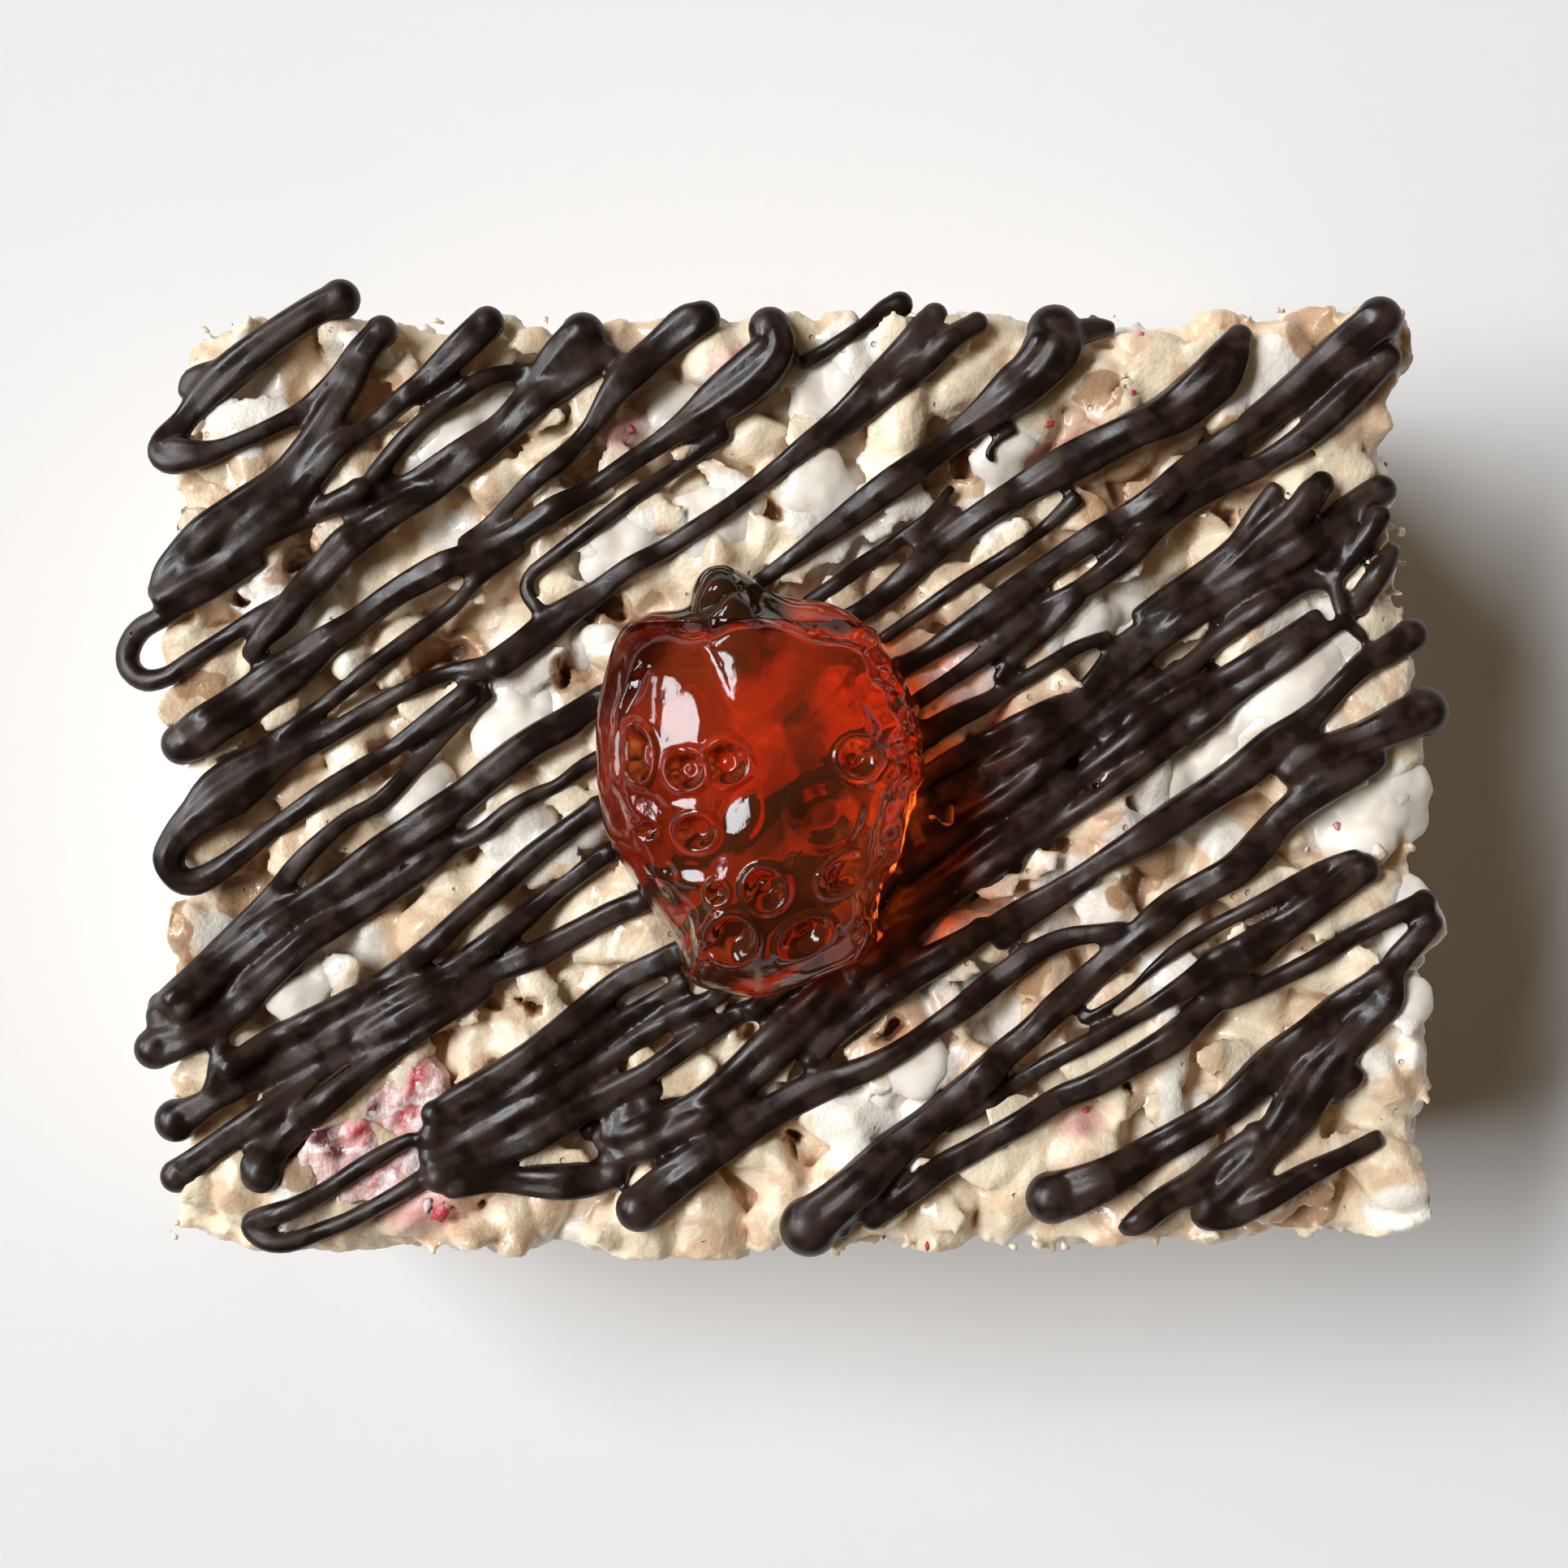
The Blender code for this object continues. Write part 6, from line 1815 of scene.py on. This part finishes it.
    def press(self, places: np.ndarray, normals: np.ndarray) -> np.ndarray:
        """Press seeds, flow lines and the crinkled right flank into the form.

        Args:
            places: one row for each vertex in millimetres.
            normals: one row for each vertex.

        Returns:
            The moved places.
        """
        up = np.clip((places[:, 2] - JELLY_BASE) / JELLY_HEIGHT, 0.0, 1.0)
        face = ramp(up, 0.35, 0.2)
        push = np.zeros(len(places))
        for *oval, depth in self.seeds:
            far = oval_distance(places, oval)
            pit = -depth * np.exp(-(far / 0.62) ** 6)
            seed = 0.2 * depth * np.exp(-(far / 0.26) ** 2)
            lip = 0.34 * depth * np.exp(-((far - 0.98) / 0.17) ** 2)
            push += (pit + seed + lip) * face
        level, low, high, lift, half = self.lip
        band = ramp(places[:, 0], low, 1.5) * ramp(high - places[:, 0], 0.0, 1.5)
        sway_y = places[:, 1] + 0.35 * np.sin(places[:, 0] * 0.9)
        groove = np.exp(-((sway_y - level - 2.0 * half) / half) ** 2)
        push += lift * band * face * (np.exp(-((sway_y - level) / half) ** 2) - 0.8 * groove)
        share = self.share_out(places)
        ripple = np.sin(share * 34.0 + 2.0 * waves(places, 5.0, 50.0))
        push += 0.075 * ripple * ramp(share, 0.62, 0.15) * ramp(up, 0.0, 0.25)
        sway = 0.26 * waves(places, 3.6, 4.0) + 0.05 * waves(places, 1.4, 12.0)
        flank = ramp(places[:, 0], 2.6, 1.6) * ramp(up, 0.0, 0.15)
        crinkle = 0.42 * waves(places * np.array([1.0, 1.0, 0.5]), 0.85, 30.0)
        above_foot = ramp(up, 0.0, 0.06)
        push += (sway + crinkle * flank) * above_foot
        moved = places + normals * push[:, None]
        on_top = ramp(up, 0.12, 0.1)
        for *oval, share in self.flats:
            east, north = moved[:, 0] - oval[0], moved[:, 1] - oval[1]
            level = moved[(np.hypot(east, north) < 0.4) & (on_top > 0.9), 2].mean()
            plane = level + self.facing[0] * east + self.facing[1] * north
            blend = share * on_top * in_spot(moved, oval, 0.3)
            moved[:, 2] += blend * (plane - moved[:, 2])
        return moved

    def moulded(self) -> bpy.types.Mesh:
        """The whole pressed form, made once."""
        if self.whole is None:
            mesh = bpy.data.meshes.new("jelly_form")
            shape = self.shell()
            shape.to_mesh(mesh)
            shape.free()
            places = read_places(mesh) * MM
            write_places(mesh, self.press(places, read_normals(mesh)))
            self.whole = mesh
        return self.whole

    def cut_piece(self, name: str, side: Side, overlap: float) -> bpy.types.Object:
        """Cut the berry or the leaf out of the whole form.

        Args:
            name: name of the piece.
            side: which part to keep.
            overlap: how far it runs past the leaf line.

        Returns:
            The closed piece.
        """
        shape = bmesh.new()
        shape.from_mesh(self.moulded())
        kept = bmesh.ops.bisect_plane(
            shape,
            geom=shape.verts[:] + shape.edges[:] + shape.faces[:],
            plane_co=(0.0, (LEAF_LINE - side.value * overlap) * MM, 0.0),
            plane_no=(0.0, side.value, 0.0),
            clear_inner=True,
        )
        rim = [part for part in kept["geom_cut"] if isinstance(part, bmesh.types.BMEdge)]
        bmesh.ops.edgeloop_fill(shape, edges=rim)
        bmesh.ops.recalc_face_normals(shape, faces=shape.faces[:])
        return object_from(name, shape)


@dataclass
class JellyStrawberry:
    """The red part of the sweet."""

    form: JellyBody
    # How far the leaf's dark runs down over the red, and how its border wanders.
    border_down: float = 0.75
    border_sway: float = 0.6

    def build(self) -> bpy.types.Object:
        """Make the berry.

        Returns:
            The piece.
        """
        piece = self.form.cut_piece("jelly_berry", Side.BERRY, 0.0)
        places = read_places(piece.data)
        sway = self.border_sway / 0.3 * waves(places, 1.5, 33.0)
        left = ramp(-2.0 - places[:, 0], 0.0, 2.0)
        # Darker along the left shoulder, and the leaf's dark over the band under the leaf line; the left
        # flank, the left rim and the lower part are painted shade, and a band across the middle is darker.
        darks_and_shades = (
            0.95 * in_spot(places, (-7.7, 5.0, 3.6, 1.3, 55.0), 0.5),
            np.clip((places[:, 1] - LEAF_LINE + self.border_down) / 0.3 + sway, 0.0, 1.0),
            0.7 * in_spot(places, (-7.4, -2.0, 2.6, 4.6, 0.0), 0.6),
            0.6 * ramp(self.form.share_out(places), 0.84, 0.1) * left,
            0.4 * in_spot(places, (-1.0, -7.5, 5.5, 3.6, 0.0), 0.6),
            0.35 * in_spot(places, (0.0, -1.0, 3.4, 1.6, 40.0), 0.7),
        )
        write_mask(piece.data, "leaf_dark_and_shade", np.max(darks_and_shades, axis=0))
        ride_as(piece, ("jelly_strawberry",), JellyFinish().make())
        return piece


@dataclass
class LeafCap:
    """The olive-brown leaf part of the sweet, with its stem."""

    form: JellyBody
    stem: tuple[float, float] = (-3.6, 9.0)

    def build(self) -> bpy.types.Object:
        """Make the leaf.

        Returns:
            The piece.
        """
        piece = self.form.cut_piece("jelly_leaf", Side.LEAF, 0.12)
        places = read_places(piece.data)
        normals = read_normals(piece.data)
        far = np.hypot(places[:, 0] - self.stem[0], places[:, 1] - self.stem[1])
        folds = 0.2 * waves(places, 1.8, 18.0) + 0.7 * np.exp(-(far / 1.1) ** 2)
        lifted = ramp(places[:, 2], JELLY_BASE, 1.0)
        write_places(piece.data, places + normals * (folds * lifted)[:, None])
        right = np.clip((places[:, 0] + 0.9) / 1.2, 0.0, 0.95)
        left = np.clip((-5.6 - places[:, 0]) / 0.8, 0.0, 0.22)
        write_mask(piece.data, "ripe", np.maximum(right, left))
        ride_as(piece, ("jelly_leaf_cap",), LeafFinish().make())
        return piece


@dataclass
class Studio:
    """Pale floor, two soft lights and the camera straight above the treat."""

    camera_at: tuple[float, float, float] = (-0.56, -0.16, 132.2)
    lens: float = 48.45
    sensor: float = 36.0
    floor_half: float = 4.0
    floor_grey: Colour = (0.83, 0.83, 0.83)
    ambient: Colour = (0.072, 0.051, 0.028)
    daylight: Colour = (0.955, 0.975, 1.0)
    light_distance: float = 4.0
    # Each light panel: name, elevation and azimuth it shines from, apparent width and height in
    # degrees, and the light it sends to a surface that faces it.
    lights: tuple[tuple[str, float, float, float, float, float], ...] = (
        ("window_high", 52.0, 164.0, 41.0, 12.5, 3.6), ("window_low", 25.0, 166.0, 24.0, 12.0, 1.1),
    )

    def floor(self) -> None:
        """Lay the floor under the treat."""
        shape = bmesh.new()
        bmesh.ops.create_grid(shape, x_segments=1, y_segments=1, size=self.floor_half)
        piece = object_from("floor", shape)
        finish = Finish("pale_paper", Roughness=0.9, Specular_IOR_Level=0.1)
        fibre = finish.nodes.cloud(finish.nodes.place(), 0.8, 2.0)
        warm = tuple(0.985 * part for part in self.floor_grey)
        finish.colour(finish.nodes.blend(fibre, self.floor_grey, warm))
        piece.data.materials.append(finish.material)

    def light(self) -> None:
        """Hang the lights and set the even light round the scene."""
        for name, elevation, azimuth, width, height, strength in self.lights:
            lamp = bpy.data.lights.new(name, "AREA")
            lamp.energy = strength * math.pi * self.light_distance ** 2
            lamp.color = self.daylight
            lamp.shape = "RECTANGLE"
            lamp.size = 2.0 * self.light_distance * math.tan(math.radians(0.5 * width))
            lamp.size_y = 2.0 * self.light_distance * math.tan(math.radians(0.5 * height))
            shown = bpy.data.objects.new(name, lamp)
            up, round_z = math.radians(elevation), math.radians(azimuth)
            flat = math.cos(up)
            source = Vector((flat * math.cos(round_z), flat * math.sin(round_z), math.sin(up)))
            shown.location = source * self.light_distance
            shown.rotation_euler = source.to_track_quat("Z", "Y").to_euler()
            bpy.context.scene.collection.objects.link(shown)
        world = bpy.data.worlds.new("studio")
        world.use_nodes = True
        world.node_tree.nodes["Background"].inputs["Color"].default_value = (*self.ambient, 1.0)
        bpy.context.scene.world = world

    def camera(self) -> None:
        """Set the camera at the photograph's viewing angle."""
        lens = bpy.data.cameras.new("camera")
        lens.lens = self.lens
        lens.sensor_width = self.sensor
        lens.clip_start = 0.001
        lens.clip_end = 20.0
        eye = bpy.data.objects.new("camera", lens)
        eye.location = Vector(self.camera_at) * MM
        bpy.context.scene.collection.objects.link(eye)
        bpy.context.scene.camera = eye

    def build(self) -> None:
        """Set up floor, lights, camera and plain colour handling."""
        self.floor()
        self.light()
        self.camera()
        bpy.context.scene.view_settings.view_transform = "Standard"


def main() -> None:
    """Build the treat, piece by piece, and the studio round it."""
    logging.basicConfig(level=logging.INFO, format="%(relativeCreated)d ms %(message)s")
    cut = CutBlock()
    crust, body = Cereal(cut).build()
    pools = MarshmallowPools().build(Ground([crust]))
    ground = Ground([crust, pools])
    fruit = DriedFruit()
    piece = fruit.build_slice()
    fruit.build_specks(ground)
    Drizzle(cut).build(Ground([crust, pools, piece]))
    form = JellyBody()
    JellyStrawberry(form).build()
    LeafCap(form).build()
    Studio().build()


if __name__ == "__main__":
    main()
